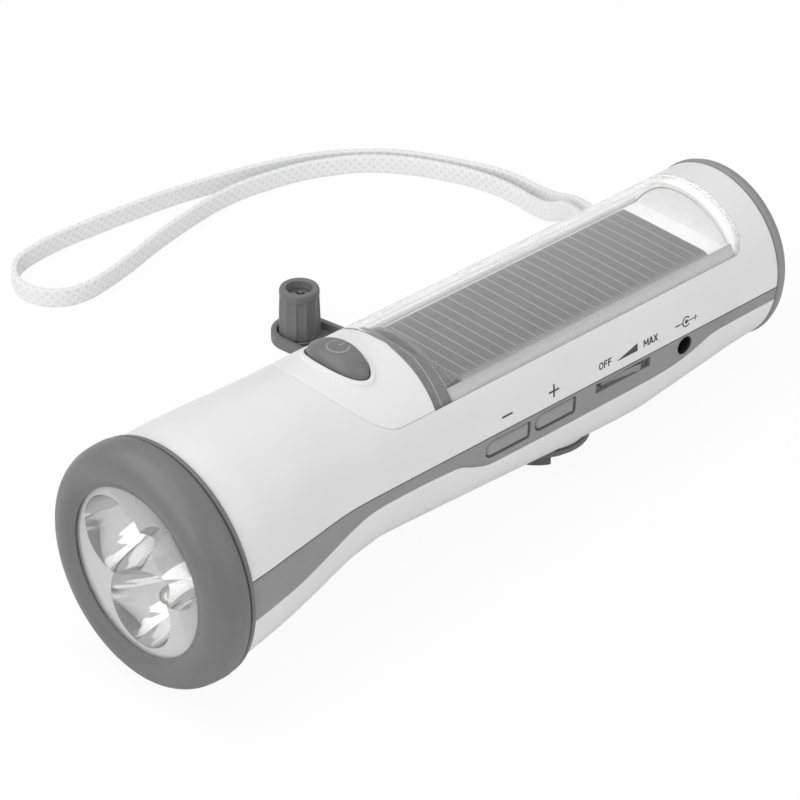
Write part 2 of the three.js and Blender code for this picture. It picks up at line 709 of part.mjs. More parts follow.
// Half spaces of the torch, as blocks well outside it
const FAR = BODY_LENGTH + RING_R;
const above = (z) => box(-FAR, FAR + BODY_TAIL, -FAR, FAR, z, FAR);
const below = (z) => box(-FAR, FAR + BODY_TAIL, -FAR, FAR, -FAR, z);

const outside = bodyLoft(BODY_FRONT, BODY_TAIL, 0);

// Head: ring, lens, reflector, lamps

function headRing() {
  const groove = RING_GROOVE_SHARES.map(([x, r]) => [x * RING_LENGTH, r * RING_R]);
  const curve = new THREE.SplineCurve(
    RING_FRONT_SHARES.map(([x, r]) => new THREE.Vector2(x * RING_LENGTH, r * RING_R)),
  );
  const front = curve.getPoints(2 * CURVE_STEPS).map((p) => [p.x, p.y]);
  return turnedX([
    ...groove,
    ...front,
    [LENS_SEAT_X - SEAT_GAP, LENS_OPENING_R],
    [LENS_SEAT_X, LENS_OPENING_R],
    [LENS_SEAT_X, LENS_POCKET_R],
    [RING_SOCKET_X, LENS_POCKET_R],
    [RING_SOCKET_X, NECK_R + SEAT_GAP],
    [RING_LENGTH, NECK_R + SEAT_GAP],
    groove[0],
  ]);
}

function lens() {
  return rodX(0, 0, LENS_POCKET_R - SEAT_GAP, LENS_X, LENS_X + LENS_THICK, FINE_SIDES);
}

// A parabolic cup as a turned solid, from the plate's face to its lamp hole
function cup(angle, wall) {
  const holeShare = LED_FLANGE_R / CUP_R;
  const bottom = CUP_DEPTH * (1 - holeShare ** 2);
  const profile = [[REFLECTOR_X - (wall ? 0 : OVERRUN), 0]];
  if (!wall) profile.push([REFLECTOR_X - OVERRUN, CUP_R]);
  for (let i = 0; i <= CUP_STEPS; i++) {
    const depth = (bottom * i) / CUP_STEPS;
    profile.push([REFLECTOR_X + depth, CUP_R * Math.sqrt(1 - depth / CUP_DEPTH) + wall]);
  }
  if (!wall) profile.push([REFLECTOR_X + bottom + OVERRUN, LED_FLANGE_R]);
  profile.push([REFLECTOR_X + bottom + (wall ? 0 : OVERRUN), 0]);
  const turn = THREE.MathUtils.degToRad(angle);
  return turnedX(
    profile,
    CUP_PITCH_R * Math.cos(turn),
    CUP_PITCH_R * Math.sin(turn),
    ROUND_SIDES,
  );
}

function reflector() {
  const plateR = LENS_POCKET_R - SEAT_GAP;
  const face = rodX(0, 0, plateR, REFLECTOR_X, REFLECTOR_X + REFLECTOR_PLATE, FINE_SIDES);
  const posts = CUP_ANGLES.map((angle) => {
    const turn = THREE.MathUtils.degToRad(angle) + Math.PI / CUP_ANGLES.length;
    return rodX(
      REFLECTOR_POST_PITCH_R * Math.cos(turn),
      REFLECTOR_POST_PITCH_R * Math.sin(turn),
      REFLECTOR_POST_R,
      REFLECTOR_X,
      REFLECTOR_X + REFLECTOR_LENGTH,
      SMALL_SIDES,
    );
  });
  const walls = CUP_ANGLES.map((angle) => cup(angle, CUP_WALL));
  const hollows = CUP_ANGLES.map((angle) => cup(angle, 0));
  return joined(face, ...posts, ...walls).subtract(joined(...hollows));
}

function led(angle) {
  const turn = THREE.MathUtils.degToRad(angle);
  const base = LED_BOARD_X - SEAT_GAP;
  const domeStart = base - LED_LENGTH + LED_R;
  const dome = Array.from({ length: CUP_STEPS }, (_, i) => {
    const rise = (Math.PI / 2) * (1 - i / CUP_STEPS);
    return [domeStart - LED_R * Math.sin(rise), LED_R * Math.cos(rise)];
  });
  return turnedX(
    [
      ...dome,
      [domeStart, LED_R],
      [base - LED_FLANGE, LED_R],
      [base - LED_FLANGE, LED_FLANGE_R],
      [base, LED_FLANGE_R],
      [base, 0],
    ],
    CUP_PITCH_R * Math.cos(turn),
    CUP_PITCH_R * Math.sin(turn),
    SMALL_SIDES,
  );
}

function ledBoard() {
  return rodX(0, 0, LED_BOARD_R, LED_BOARD_X, LED_BOARD_X + BOARD_THICK);
}

// Outlines on the body

function inlayOutline(grow) {
  const half = INLAY_HALF + grow;
  const tail = INLAY_TAIL_X + grow;
  const front = INLAY_FRONT_X - grow;
  const shape = new THREE.Shape();
  shape.moveTo(tail - INLAY_CORNER, -half);
  shape.absarc(tail - INLAY_CORNER, -half + INLAY_CORNER, INLAY_CORNER, -Math.PI / 2, 0, false);
  shape.absarc(tail - INLAY_CORNER, half - INLAY_CORNER, INLAY_CORNER, 0, Math.PI / 2, false);
  shape.absellipse(front + INLAY_NOSE, 0, INLAY_NOSE, half, Math.PI / 2, 1.5 * Math.PI, false);
  return shape;
}

// The part of the inlay ahead of the window's swept front edge
function panelOutline(shift) {
  const shape = new THREE.Shape();
  const half = INLAY_HALF;
  shape.moveTo(-OVERRUN, half + OVERRUN);
  shape.lineTo(-OVERRUN, -half - OVERRUN);
  shape.lineTo(WINDOW_X + WINDOW_SWEEP + shift, -half - OVERRUN);
  for (let i = -CURVE_STEPS; i <= CURVE_STEPS; i++) {
    const share = i / CURVE_STEPS;
    const sweep = (WINDOW_SWEEP * (1 - Math.cos(Math.PI * share))) / 2;
    shape.lineTo(WINDOW_X + sweep + shift, share * half);
  }
  shape.lineTo(WINDOW_X + WINDOW_SWEEP + shift, half + OVERRUN);
  return shape;
}

// The button's oval outline, deeper in front of its widest line than behind it
function buttonRing(scale, grow, heightAt) {
  return Array.from({ length: OVAL_SIDES }, (_, i) => {
    const turn = (FULL_TURN * i) / OVAL_SIDES;
    const [c, s] = [Math.cos(turn), Math.sin(turn)];
    const reach = c < 0 ? BUTTON_FRONT : BUTTON_REAR;
    const y = s * (BUTTON_HALF_WIDTH * scale + grow);
    return new THREE.Vector3(BUTTON_X + c * (reach * scale + grow), y, heightAt(y));
  });
}

function buttonPrism(grow, z0, z1) {
  return skinned([z0, z1].map((z) => buttonRing(1, grow, () => z)));
}

// Height of the grip's upper half at y, for a surface drawn in by inset
function gripHeight(y, inset) {
  return GRIP_Z + Math.sqrt((GRIP_R - inset) ** 2 - y ** 2);
}

// The side trim's outline in X and Z, its lower edge dropped by grow
function trimOutline(shares, top, grow) {
  const edge = new THREE.SplineCurve(
    shares.map(
      ([along, drop]) =>
        new THREE.Vector2(alongBody(along), SPLIT_Z - drop * GRIP_R - grow),
    ),
  ).getPoints(2 * shares.length);
  const shape = new THREE.Shape();
  shape.moveTo(edge[edge.length - 1].x, top);
  shape.lineTo(edge[0].x, top);
  edge.forEach((p) => shape.lineTo(p.x, p.y));
  return shape;
}

// A key's outline in X and Z, with a rounded front end
function keyOutline(x, z, length, grow) {
  const shape = new THREE.Shape();
  const [left, right] = [x - grow, x + length + grow];
  const [low, high] = [z - grow, z + KEY_HEIGHT + grow];
  shape.moveTo(right, low);
  shape.lineTo(right, high);
  shape.absarc(left + KEY_ROUND, high - KEY_ROUND, KEY_ROUND, Math.PI / 2, Math.PI, false);
  shape.absarc(left + KEY_ROUND, low + KEY_ROUND, KEY_ROUND, Math.PI, 1.5 * Math.PI, false);
  return shape;
}

// A slot bent round the hub, from its mouth to a round end at the crank's stowed angle
function stowOutline(halfWidth, radius) {
  const mouth = THREE.MathUtils.degToRad(STOW_MOUTH_ANGLE);
  const end = ARM_TURN + Math.PI / 2;
  const shape = new THREE.Shape();
  const centre = [HUB_X + radius * Math.cos(end), radius * Math.sin(end)];
  shape.absarc(HUB_X, 0, radius + halfWidth, mouth, end, false);
  shape.absarc(centre[0], centre[1], halfWidth, end, end + Math.PI, false);
  shape.absarc(HUB_X, 0, radius - halfWidth, end, mouth, true);
  return shape;
}

// Everything that reaches in through the near side of the body
function controlOpenings() {
  const keys = [
    [MINUS_X, MINUS_Z, MINUS_LENGTH],
    [PLUS_X, PLUS_Z, PLUS_LENGTH],
  ].map(([x, z, length]) => sidePlate(keyOutline(x, z, length, KEY_GAP), -RING_R, -POT_FRONT_Y));
  const slot = box(
    SLOT_X,
    SLOT_X + SLOT_LENGTH,
    -RING_R,
    -POT_FRONT_Y,
    SLOT_Z,
    SLOT_Z + SLOT_HEIGHT,
  );
  const socket = rodY(JACK_X, JACK_Z, JACK_HOLE_R, -RING_R, -POT_FRONT_Y);
  return joined(...keys, slot, socket);
}

function strapOpening() {
  return box(
    STRAP_SLOT_X - STRAP_SLOT_WIDTH / 2,
    STRAP_SLOT_X + STRAP_SLOT_WIDTH / 2,
    STRAP_BAR_Y,
    RING_R,
    STRAP_SLOT_Z,
    STRAP_SLOT_Z + STRAP_SLOT_HEIGHT,
  );
}

// Body shells, trims and inlay

function hollowBody() {
  const neck = rodX(0, 0, NECK_R, NECK_X, BODY_FRONT + OVERRUN, FINE_SIDES);
  const behindLip = NECK_X + NECK_LIP;
  const neckBore = rodX(0, 0, NECK_R - NECK_WALL, behindLip, BODY_FRONT + WALL, FINE_SIDES);
  const mouth = rodX(0, 0, NECK_LIP_R, NECK_X - OVERRUN, BODY_FRONT, FINE_SIDES);
  const inside = bodyLoft(BODY_FRONT + WALL / 2, BODY_TAIL + OVERRUN, WALL);
  return outside.add(neck).subtract(joined(inside, neckBore, mouth));
}

function upperShell(whole) {
  const inlaySeat = plate(inlayOutline(SEAT_GAP), GRIP_Z, RING_R + GRIP_Z);
  const underSeat = bodyLoft(BODY_FRONT, BODY_TAIL, INLAY_SEAT);
  const windowHole = box(
    WINDOW_EDGE_X + WINDOW_LEDGE,
    INLAY_TAIL_X - WINDOW_LEDGE,
    -INLAY_HALF + WINDOW_LEDGE,
    INLAY_HALF - WINDOW_LEDGE,
    GRIP_Z,
    RING_R + GRIP_Z,
  );
  const buttonHole = buttonPrism(2 * BUTTON_FLANGE, GRIP_Z, RING_R + GRIP_Z);
  const posts = [-NECK_SCREW_Y, NECK_SCREW_Y].map((y) =>
    post(NECK_SCREW_X, y, NECK_POST_R, ON_BOARD_Z, RING_R),
  );
  const holes = [-NECK_SCREW_Y, NECK_SCREW_Y].map((y) =>
    post(NECK_SCREW_X, y, SCREW_HOLE_R, BOARD_Z, NECK_SCREW_TOP_Z + SEAT_GAP, SMALL_SIDES),
  );
  const barPost = post(STRAP_SLOT_X, STRAP_BAR_Y, POST_R, SPLIT_Z, GRIP_R, SMALL_SIDES);
  const postLimit = bodyLoft(BODY_FRONT, BODY_TAIL, (INLAY_SEAT + WALL) / 2);
  return whole
    .add(barPost.intersect(postLimit))
    .intersect(above(SPLIT_Z + SEAT_GAP / 2))
    .subtract(inlaySeat.subtract(underSeat))
    .subtract(windowHole)
    .add(joined(...posts).intersect(postLimit))
    .subtract(joined(buttonHole, ...holes));
}

// Posts and pads that stand on the inside of the lower shell
function lowerFittings() {
  const platePosts = [PLATE_FRONT_POST, PLATE_REAR_POST].flatMap(([x, y]) =>
    [-y, y].map((side) => post(x, side, POST_R, -RING_R, PLATE_Z - SEAT_GAP, SMALL_SIDES)),
  );
  const rearPosts = [-REAR_POST_Y, REAR_POST_Y].map((y) =>
    post(REAR_POST_X, y, POST_R, -RING_R, UNDER_BOARD_Z, SMALL_SIDES),
  );
  const neckPosts = [-NECK_SCREW_Y, NECK_SCREW_Y].map((y) =>
    post(NECK_SCREW_X, y, NECK_POST_R, -RING_R, UNDER_BOARD_Z),
  );
  const tailBosses = [-TAIL_SCREW_Y, TAIL_SCREW_Y].map((y) =>
    rodX(y, TAIL_SCREW_Z, TAIL_BOSS_R, TAIL_BOSS_X, CAP_X - SPIGOT_LENGTH - SEAT_GAP, SMALL_SIDES),
  );
  const bossWeb = box(
    TAIL_BOSS_X,
    CAP_X - SPIGOT_LENGTH - SEAT_GAP,
    -TAIL_SCREW_Y - TAIL_BOSS_R,
    TAIL_SCREW_Y + TAIL_BOSS_R,
    -RING_R,
    TAIL_SCREW_Z,
  );
  const bushBoss = post(HUB_X, 0, SHAFT_R + BUSH_WALL + BUSH_BOSS_WALL, -RING_R, PAD_Z + BUSH_LENGTH);
  const axleBoss = post(
    IDLER_X,
    0,
    AXLE_BOSS_R,
    -RING_R,
    CRANK_GEAR_Z - 2 * RUN_GAP,
    SMALL_SIDES,
  );
  const strapBoss = box(
    STRAP_SLOT_X - STRAP_SLOT_WIDTH / 2,
    STRAP_SLOT_X + STRAP_SLOT_WIDTH / 2,
    STRAP_BAR_Y - 2 * STRAP_BAR_R,
    RING_R,
    STRAP_BAR_Z - STRAP_SLOT_HEIGHT / 2,
    STRAP_BAR_Z - SEAT_GAP,
  );
  const knobSlot = plate(
    stowOutline(KNOB_BASE_R + STOW_GAP + STOW_WALL, ARM_LENGTH),
    -RING_R - OVERRUN,
    KNOB_TOP_Z + STOW_ROOF_GAP + STOW_WALL,
  );
  return joined(
    ...platePosts,
    ...rearPosts,
    ...neckPosts,
    ...tailBosses,
    bossWeb,
    bushBoss,
    axleBoss,
    strapBoss,
    knobSlot,
  ).intersect(bodyLoft(BODY_FRONT, BODY_TAIL, TRIM_SEAT));
}

function lowerShell(whole) {
  const underTrim = bodyLoft(BODY_FRONT - OVERRUN, BODY_TAIL + OVERRUN, TRIM_SEAT);
  const top = SPLIT_Z + OVERRUN;
  const nearSeat = sidePlate(trimOutline(NEAR_TRIM_SHARES, top, SEAT_GAP), -RING_R, 0);
  const farSeat = sidePlate(trimOutline(FAR_TRIM_SHARES, top, SEAT_GAP), 0, RING_R);
  const seats = joined(nearSeat, farSeat)
    .intersect(box(BODY_FRONT, BODY_TAIL + OVERRUN, -FAR, FAR, -FAR, FAR))
    .subtract(underTrim);
  const pad = post(HUB_X, 0, PAD_R, PAD_Z, PAD_Z + WALL, FINE_SIDES);
  const bushHole = post(
    HUB_X,
    0,
    SHAFT_R + BUSH_WALL + SEAT_GAP,
    PAD_Z - OVERRUN,
    PAD_Z + BUSH_LENGTH + OVERRUN,
  );
  const axleHole = post(
    IDLER_X,
    0,
    AXLE_R + SEAT_GAP,
    PAD_Z + WALL + SEAT_GAP,
    CRANK_GEAR_Z,
    SMALL_SIDES,
  );
  const neckHoles = [-NECK_SCREW_Y, NECK_SCREW_Y].flatMap((y) => [
    post(NECK_SCREW_X, y, SCREW_HOLE_R, -RING_R, BOARD_Z, SMALL_SIDES),
    post(NECK_SCREW_X, y, SCREW_HEAD_R + SEAT_GAP, -RING_R, NECK_SCREW_SEAT_Z),
  ]);
  const tailHoles = [-TAIL_SCREW_Y, TAIL_SCREW_Y].map((y) =>
    rodX(y, TAIL_SCREW_Z, SCREW_HOLE_R, TAIL_SCREW_END_X - SEAT_GAP, CAP_X, SMALL_SIDES),
  );
  const knobSlot = plate(
    stowOutline(KNOB_BASE_R + STOW_GAP, ARM_LENGTH),
    -RING_R - OVERRUN,
    KNOB_TOP_Z + STOW_ROOF_GAP,
  );
  const armRelief = plate(
    stowOutline(ARM_END_R + ARM_RELIEF_GAP, ARM_LENGTH),
    -RING_R - OVERRUN,
    HINGE_Z + ARM_THICK / 2 - ARM_LENGTH * Math.sin(ARM_DROOP) + ARM_RELIEF_GAP,
  );
  return whole
    .add(lowerFittings())
    .intersect(below(SPLIT_Z - SEAT_GAP / 2))
    .subtract(seats)
    .add(pad)
    .subtract(joined(bushHole, axleHole, ...neckHoles, ...tailHoles, knobSlot, armRelief))
    .subtract(joined(controlOpenings(), strapOpening()));
}

function sideTrim(shares, y0, y1, openings) {
  const skin = outside.subtract(bodyLoft(BODY_FRONT - OVERRUN, BODY_TAIL + OVERRUN, TRIM_THICK));
  return sidePlate(trimOutline(shares, SPLIT_Z - SEAT_GAP / 2, 0), y0, y1)
    .intersect(skin)
    .subtract(openings);
}

function inlaySkin() {
  const skin = outside.subtract(bodyLoft(BODY_FRONT - OVERRUN, BODY_TAIL + OVERRUN, INLAY_THICK));
  return skin.intersect(plate(inlayOutline(0), GRIP_Z, RING_R + GRIP_Z));
}

function frontPanel() {
  const ahead = plate(panelOutline(-SEAT_GAP / 2), 0, RING_R + GRIP_Z);
  const raised = bodyLoft(BODY_FRONT, BODY_TAIL, -COLLAR_RISE);
  const rim = buttonPrism(KEY_GAP + COLLAR_WIDTH, GRIP_Z, RING_R + GRIP_Z);
  const collar = rim
    .intersect(raised)
    .subtract(bodyLoft(BODY_FRONT - OVERRUN, BODY_TAIL, INLAY_THICK / 2));
  return inlaySkin()
    .intersect(ahead)
    .add(collar)
    .subtract(buttonPrism(KEY_GAP, GRIP_Z, RING_R + 2 * GRIP_Z));
}

function solarWindow() {
  return inlaySkin().subtract(plate(panelOutline(SEAT_GAP / 2), 0, RING_R + GRIP_Z));
}

function cellTray() {
  const fits = bodyLoft(BODY_FRONT, BODY_TAIL, WALL + SEAT_GAP);
  const tub = box(TRAY_X, TRAY_TAIL_X, -GRIP_R, GRIP_R, TRAY_TOP_Z - TRAY_THICK, RING_R + GRIP_Z);
  const room = box(
    TRAY_X + TRAY_THICK,
    TRAY_TAIL_X - TRAY_THICK,
    -GRIP_R,
    GRIP_R,
    TRAY_TOP_Z,
    RING_R + GRIP_Z,
  );
  return tub.intersect(fits).subtract(room);
}

function solarCell() {
  const half = CELL_WIDTH / 2;
  return box(CELL_X, CELL_X + CELL_LENGTH, -half, half, CELL_TOP_Z - CELL_THICK, CELL_TOP_Z);
}

// Button, keys, slider and socket

function powerButton() {
  const flangeTop = gripHeight(BUTTON_HALF_WIDTH + BUTTON_FLANGE, INLAY_THICK) - SEAT_GAP;
  const flangeZ = flangeTop - BUTTON_FLANGE;
  const levels = BUTTON_LEVEL_SHARES.map(([up, scale]) =>
    buttonRing(scale, 0, (y) => gripHeight(y, BUTTON_SINK) + up * BUTTON_DOME),
  );
  const head = skinned([buttonRing(1, 0, () => flangeZ), ...levels]);
  const flange = buttonPrism(BUTTON_FLANGE, flangeZ, flangeTop);
  const stemZ = SWITCH_TOP_Z + BUTTON_TRAVEL + PRESS_SPARE;
  return joined(head, flange, post(BUTTON_X, 0, BUTTON_STEM_R, stemZ, flangeTop, SMALL_SIDES));
}

function scanKey(x, z, length) {
  const face = bodyLoft(BODY_FRONT, BODY_TAIL, KEY_RECESS);
  const shank = sidePlate(keyOutline(x, z, length, 0), -RING_R, -KEY_FLANGE_Y + KEY_FLANGE_THICK);
  const flange = box(
    x - KEY_FLANGE,
    x + length + KEY_FLANGE,
    -KEY_FLANGE_Y,
    -KEY_FLANGE_Y + KEY_FLANGE_THICK,
    z - KEY_FLANGE,
    Math.min(z + KEY_HEIGHT + KEY_FLANGE, UNDER_BOARD_Z - SEAT_GAP),
  );
  return shank.intersect(face).add(flange);
}

// The slider's thumb piece: a ramp that rises to its rear end, cut into steps
function volumeSlider() {
  const start = SLOT_X + (SLOT_LENGTH - SLIDER_LENGTH) / 2;
  const end = start + SLIDER_LENGTH;
  const [low, high] = [SLOT_Z + SEAT_GAP, SLOT_Z + SLOT_HEIGHT - SEAT_GAP];
  const inner = -KEY_FLANGE_Y + KEY_FLANGE_THICK;
  const sunkY = -GRIP_R + SLIDER_SINK;
  const shape = new THREE.Shape();
  shape.moveTo(start, inner);
  shape.lineTo(start, sunkY);
  for (let i = 0; i < SLIDER_STEPS; i++) {
    const crest = (i + SLIDER_STEP_SHARE) / SLIDER_STEPS;
    shape.lineTo(start + SLIDER_LENGTH * crest, sunkY - SLIDER_SINK * crest);
    shape.lineTo(
      start + (SLIDER_LENGTH * (i + 1)) / SLIDER_STEPS,
      sunkY - SLIDER_SINK * crest * SLIDER_STEP_SHARE,
    );
  }
  shape.lineTo(end, inner);
  const flange = box(
    start - KEY_FLANGE,
    end + KEY_FLANGE,
    -KEY_FLANGE_Y,
    inner,
    SLOT_Z - KEY_FLANGE,
    SPLIT_Z,
  );
  const middle = (start + end) / 2;
  const lever = box(
    middle - SLIDER_LEVER / 2,
    middle + SLIDER_LEVER / 2,
    inner - KEY_FLANGE_THICK / 2,
    -POT_FRONT_Y + POT_DEPTH / 2,
    low,
    high,
  );
  return joined(plate(shape, low, high), flange, lever);
}

function volumePot() {
  const middle = SLOT_X + SLOT_LENGTH / 2;
  const travel = (SLOT_LENGTH - SLIDER_LENGTH) / 2;
  const room = SLIDER_LEVER / 2 + travel + SEAT_GAP;
  const body = box(
    middle - POT_LENGTH / 2,
    middle + POT_LENGTH / 2,
    -POT_FRONT_Y,
    -POT_FRONT_Y + POT_DEPTH,
    POT_Z,
    UNDER_BOARD_Z,
  );
  const track = box(
    middle - room,
    middle + room,
    -POT_FRONT_Y - OVERRUN,
    -POT_FRONT_Y + POT_DEPTH / 2 + SEAT_GAP,
    SLOT_Z,
    SLOT_Z + SLOT_HEIGHT,
  );
  return body.subtract(track);
}

function dcJack() {
  const half = JACK_WIDTH / 2;
  const back = -JACK_FRONT_Y + JACK_LENGTH;
  const body = box(JACK_X - half, JACK_X + half, -JACK_FRONT_Y, back, JACK_Z - half, JACK_Z + half);
  const bore = rodY(
    JACK_X,
    JACK_Z,
    JACK_HOLE_R,
    -JACK_FRONT_Y - OVERRUN,
    -JACK_FRONT_Y + JACK_BORE,
    SMALL_SIDES,
  );
  const pin = rodY(JACK_X, JACK_Z, JACK_PIN_R, -JACK_FRONT_Y + JACK_PIN_SINK, back, SMALL_SIDES);
  return body.subtract(bore).add(pin);
}

// Main board, switches and batteries

function mainBoard() {
  const sheet = box(BOARD_X, BOARD_X + BOARD_LENGTH, -BOARD_HALF, BOARD_HALF, BOARD_Z, BOARD_TOP_Z);
  const holes = [-NECK_SCREW_Y, NECK_SCREW_Y].map((y) =>
    post(
      NECK_SCREW_X,
      y,
      SCREW_HOLE_R + SEAT_GAP,
      BOARD_Z - OVERRUN,
      BOARD_TOP_Z + OVERRUN,
      SMALL_SIDES,
    ),
  );
  return sheet.subtract(joined(...holes));
}

function powerSwitch() {
  const half = SWITCH_WIDTH / 2;
  const body = box(
    BUTTON_X - half,
    BUTTON_X + half,
    -half,
    half,
    ON_BOARD_Z,
    ON_BOARD_Z + SWITCH_HEIGHT,
  );
  return body.add(post(BUTTON_X, 0, SWITCH_PLUNGER_R, ON_BOARD_Z, SWITCH_TOP_Z, SMALL_SIDES));
}

function sideSwitch(x, z) {
  const half = SWITCH_WIDTH / 2;
  const tip = -KEY_FLANGE_Y + KEY_FLANGE_THICK + KEY_TRAVEL + PRESS_SPARE;
  const front = tip + SWITCH_PLUNGER;
  const body = box(x - half, x + half, front, front + SIDE_SWITCH_DEPTH, z - half, UNDER_BOARD_Z);
  return body.add(rodY(x, z, SWITCH_PLUNGER_R, tip, front + SWITCH_PLUNGER, SMALL_SIDES));
}

const BATTERY_PLACES = [0, 1, 2].map((i) => alongBody(BATTERY_SHARE) + i * BATTERY_PITCH);

function batteryHolder() {
  const reach = BATTERY_R + SEAT_GAP + HOLDER_WALL;
  const block = box(
    BATTERY_PLACES[0] - reach,
    BATTERY_PLACES[2] + reach,
    -reach,
    reach,
    ON_BOARD_Z,
    ON_BOARD_Z + HOLDER_HEIGHT,
  );
  const wells = BATTERY_PLACES.map((x) =>
    post(x, 0, BATTERY_R + SEAT_GAP, ON_BOARD_Z + HOLDER_WALL, CELL_TOP_Z),
  );
  return block.subtract(joined(...wells));
}

function batteryCell(x) {
  const base = ON_BOARD_Z + HOLDER_WALL + SEAT_GAP;
  return post(x, 0, BATTERY_R, base, base + BATTERY_THICK);
}

// Screws

function neckScrew(y) {
  const top = NECK_SCREW_SEAT_Z - SEAT_GAP;
  const head = post(NECK_SCREW_X, y, SCREW_HEAD_R, top - SCREW_HEAD, top, SMALL_SIDES);
  return head.add(
    post(NECK_SCREW_X, y, SCREW_R, top - SCREW_HEAD / 2, NECK_SCREW_TOP_Z, SMALL_SIDES),
  );
}

function tailScrew(y) {
  const face = CAP_END - SEAT_GAP;
  const head = rodX(y, TAIL_SCREW_Z, SCREW_HEAD_R, face - SCREW_R, face, SMALL_SIDES);
  const shank = rodX(
    y,
    TAIL_SCREW_Z,
    SCREW_R,
    TAIL_SCREW_END_X,
    face - SCREW_R / 2,
    SMALL_SIDES,
  );
  return head.add(shank);
}

// Tail cap with its speaker grille, and the speaker

function capRing(x, inset) {
  return bodyRing(BODY_TAIL, inset).map((p) => new THREE.Vector3(x, p.y, p.z));
}

function tailCap() {
  const cover = skinned([
    capRing(CAP_X, 0),
    capRing(CAP_X + CAP_LENGTH / 3, -CAP_BULGE),
    capRing(CAP_END - CAP_ROUND, 0),
    capRing(CAP_END, CAP_ROUND),
  ]);
  const outer = WALL + SEAT_GAP;
  const inner = outer + SPIGOT_WALL;
  const spigot = skinned([capRing(CAP_X - SPIGOT_LENGTH, outer), capRing(CAP_X + SPIGOT_WALL, outer)]);
  const room = skinned([
    capRing(CAP_X - SPIGOT_LENGTH - OVERRUN, inner),
    capRing(CAP_END - CAP_PLATE, inner),
  ]);
  const seat = SPEAKER_R + SEAT_GAP;
  const well = turnedX(
    [
      [CAP_X - SPIGOT_LENGTH, seat],
      [CAP_X - SPIGOT_LENGTH, seat + SPEAKER_WALL],
      [CAP_END - CAP_PLATE / 2, seat + SPEAKER_WALL],
      [CAP_END - CAP_PLATE / 2, seat - SPEAKER_STEP],
      [SPEAKER_FRONT_X + SEAT_GAP, seat - SPEAKER_STEP],
      [SPEAKER_FRONT_X + SEAT_GAP, seat],
      [CAP_X - SPIGOT_LENGTH, seat],
    ],
    0,
    SPEAKER_Z,
  );
  const holes = GRILLE_SHARES.flatMap(([share, count]) =>
    Array.from({ length: count }, (_, i) => {
      const turn = (FULL_TURN * i) / count;
      const r = share * SPEAKER_R;
      return rodX(
        r * Math.cos(turn),
        SPEAKER_Z + r * Math.sin(turn),
        GRILLE_HOLE_R,
        CAP_X,
        CAP_END + OVERRUN,
        GRILLE_SIDES,
      );
    }),
  );
  const screws = [-TAIL_SCREW_Y, TAIL_SCREW_Y].flatMap((y) => [
    rodX(y, TAIL_SCREW_Z, SCREW_HOLE_R, CAP_X - 2 * SPIGOT_LENGTH, CAP_END + OVERRUN, SMALL_SIDES),
    rodX(
      y,
      TAIL_SCREW_Z,
      SCREW_HEAD_R + SEAT_GAP,
      CAP_END - SCREW_R - 2 * SEAT_GAP,
      CAP_END + OVERRUN,
      SMALL_SIDES,
    ),
  ]);
  return cover
    .add(spigot)
    .subtract(room)
    .add(well)
    .subtract(joined(...holes, ...screws));
}

function speaker() {
  const front = SPEAKER_FRONT_X;
  const back = front - SPEAKER_DEPTH;
  return turnedX(
    [
      [back, 0],
      [back, MAGNET_R],
      [back + SPEAKER_DEPTH / 2, MAGNET_R],
      [front - SPEAKER_RIM, SPEAKER_R - SPEAKER_RIM],
      [front - SPEAKER_RIM, SPEAKER_R],
      [front, SPEAKER_R],
      [front, SPEAKER_R - SPEAKER_RIM],
      [front - 3 * SPEAKER_RIM, MAGNET_R / 2],
      [front - 2 * SPEAKER_RIM, 0],
    ],
    0,
    SPEAKER_Z,
    ROUND_SIDES,
  );
}

// Crank, in its own frame: the hub's axis is Z, and the arm lies along X before it is turned

function crankHub() {
  const edge = BOSS_EDGE;
  const profile = [
    [0, BOSS_BOTTOM_Z],
    [BOSS_R - edge, BOSS_BOTTOM_Z],
    [BOSS_R, BOSS_BOTTOM_Z + edge],
    [BOSS_R, FLANGE_BOTTOM_Z],
    [FLANGE_R - edge, FLANGE_BOTTOM_Z],
    [FLANGE_R, FLANGE_BOTTOM_Z + edge],
    [FLANGE_R, FLANGE_TOP_Z],
    [SHAFT_R, FLANGE_TOP_Z],
    [SHAFT_R, CRANK_GEAR_Z - SEAT_GAP],
    [0, CRANK_GEAR_Z - SEAT_GAP],
  ].map(([r, z]) => new THREE.Vector2(r, z));
  const turned = new THREE.LatheGeometry(profile, FINE_SIDES).rotateX(Math.PI / 2);
  const tipTop = CRANK_GEAR_TOP_Z - SEAT_GAP;
  const tip = post(0, 0, SHAFT_TIP_R, CRANK_GEAR_Z - 2 * SEAT_GAP, tipTop, HEX_SIDES);
  const slot = box(
    -FLANGE_R,
    FLANGE_R,
    -HINGE_SLOT_HALF,
    HINGE_SLOT_HALF,
    BOSS_BOTTOM_Z - OVERRUN,
    FLANGE_BOTTOM_Z,
  );
  const pinHole = rodY(0, HINGE_Z, HINGE_PIN_R + RUN_GAP, -FLANGE_R, FLANGE_R, SMALL_SIDES);
  const screwHole = post(0, 0, SCREW_HOLE_R, FLANGE_TOP_Z, tipTop + OVERRUN, SMALL_SIDES);
  return solid(turned).add(tip).subtract(joined(slot, pinHole, screwHole));
}

function hubScrew() {
  const seat = CRANK_GEAR_TOP_Z + SEAT_GAP;
  const head = post(0, 0, SHAFT_R, seat, seat + SCREW_HEAD, SMALL_SIDES);
  return head.add(post(0, 0, SCREW_R, FLANGE_TOP_Z + OVERRUN, seat + SCREW_R, SMALL_SIDES));
}

function hubBush() {
  const top = PAD_Z + BUSH_LENGTH;
  const sleeve = post(0, 0, SHAFT_R + BUSH_WALL, PAD_Z, top);
  return sleeve.subtract(post(0, 0, SHAFT_R + RUN_GAP, PAD_Z - OVERRUN, top + OVERRUN));
}

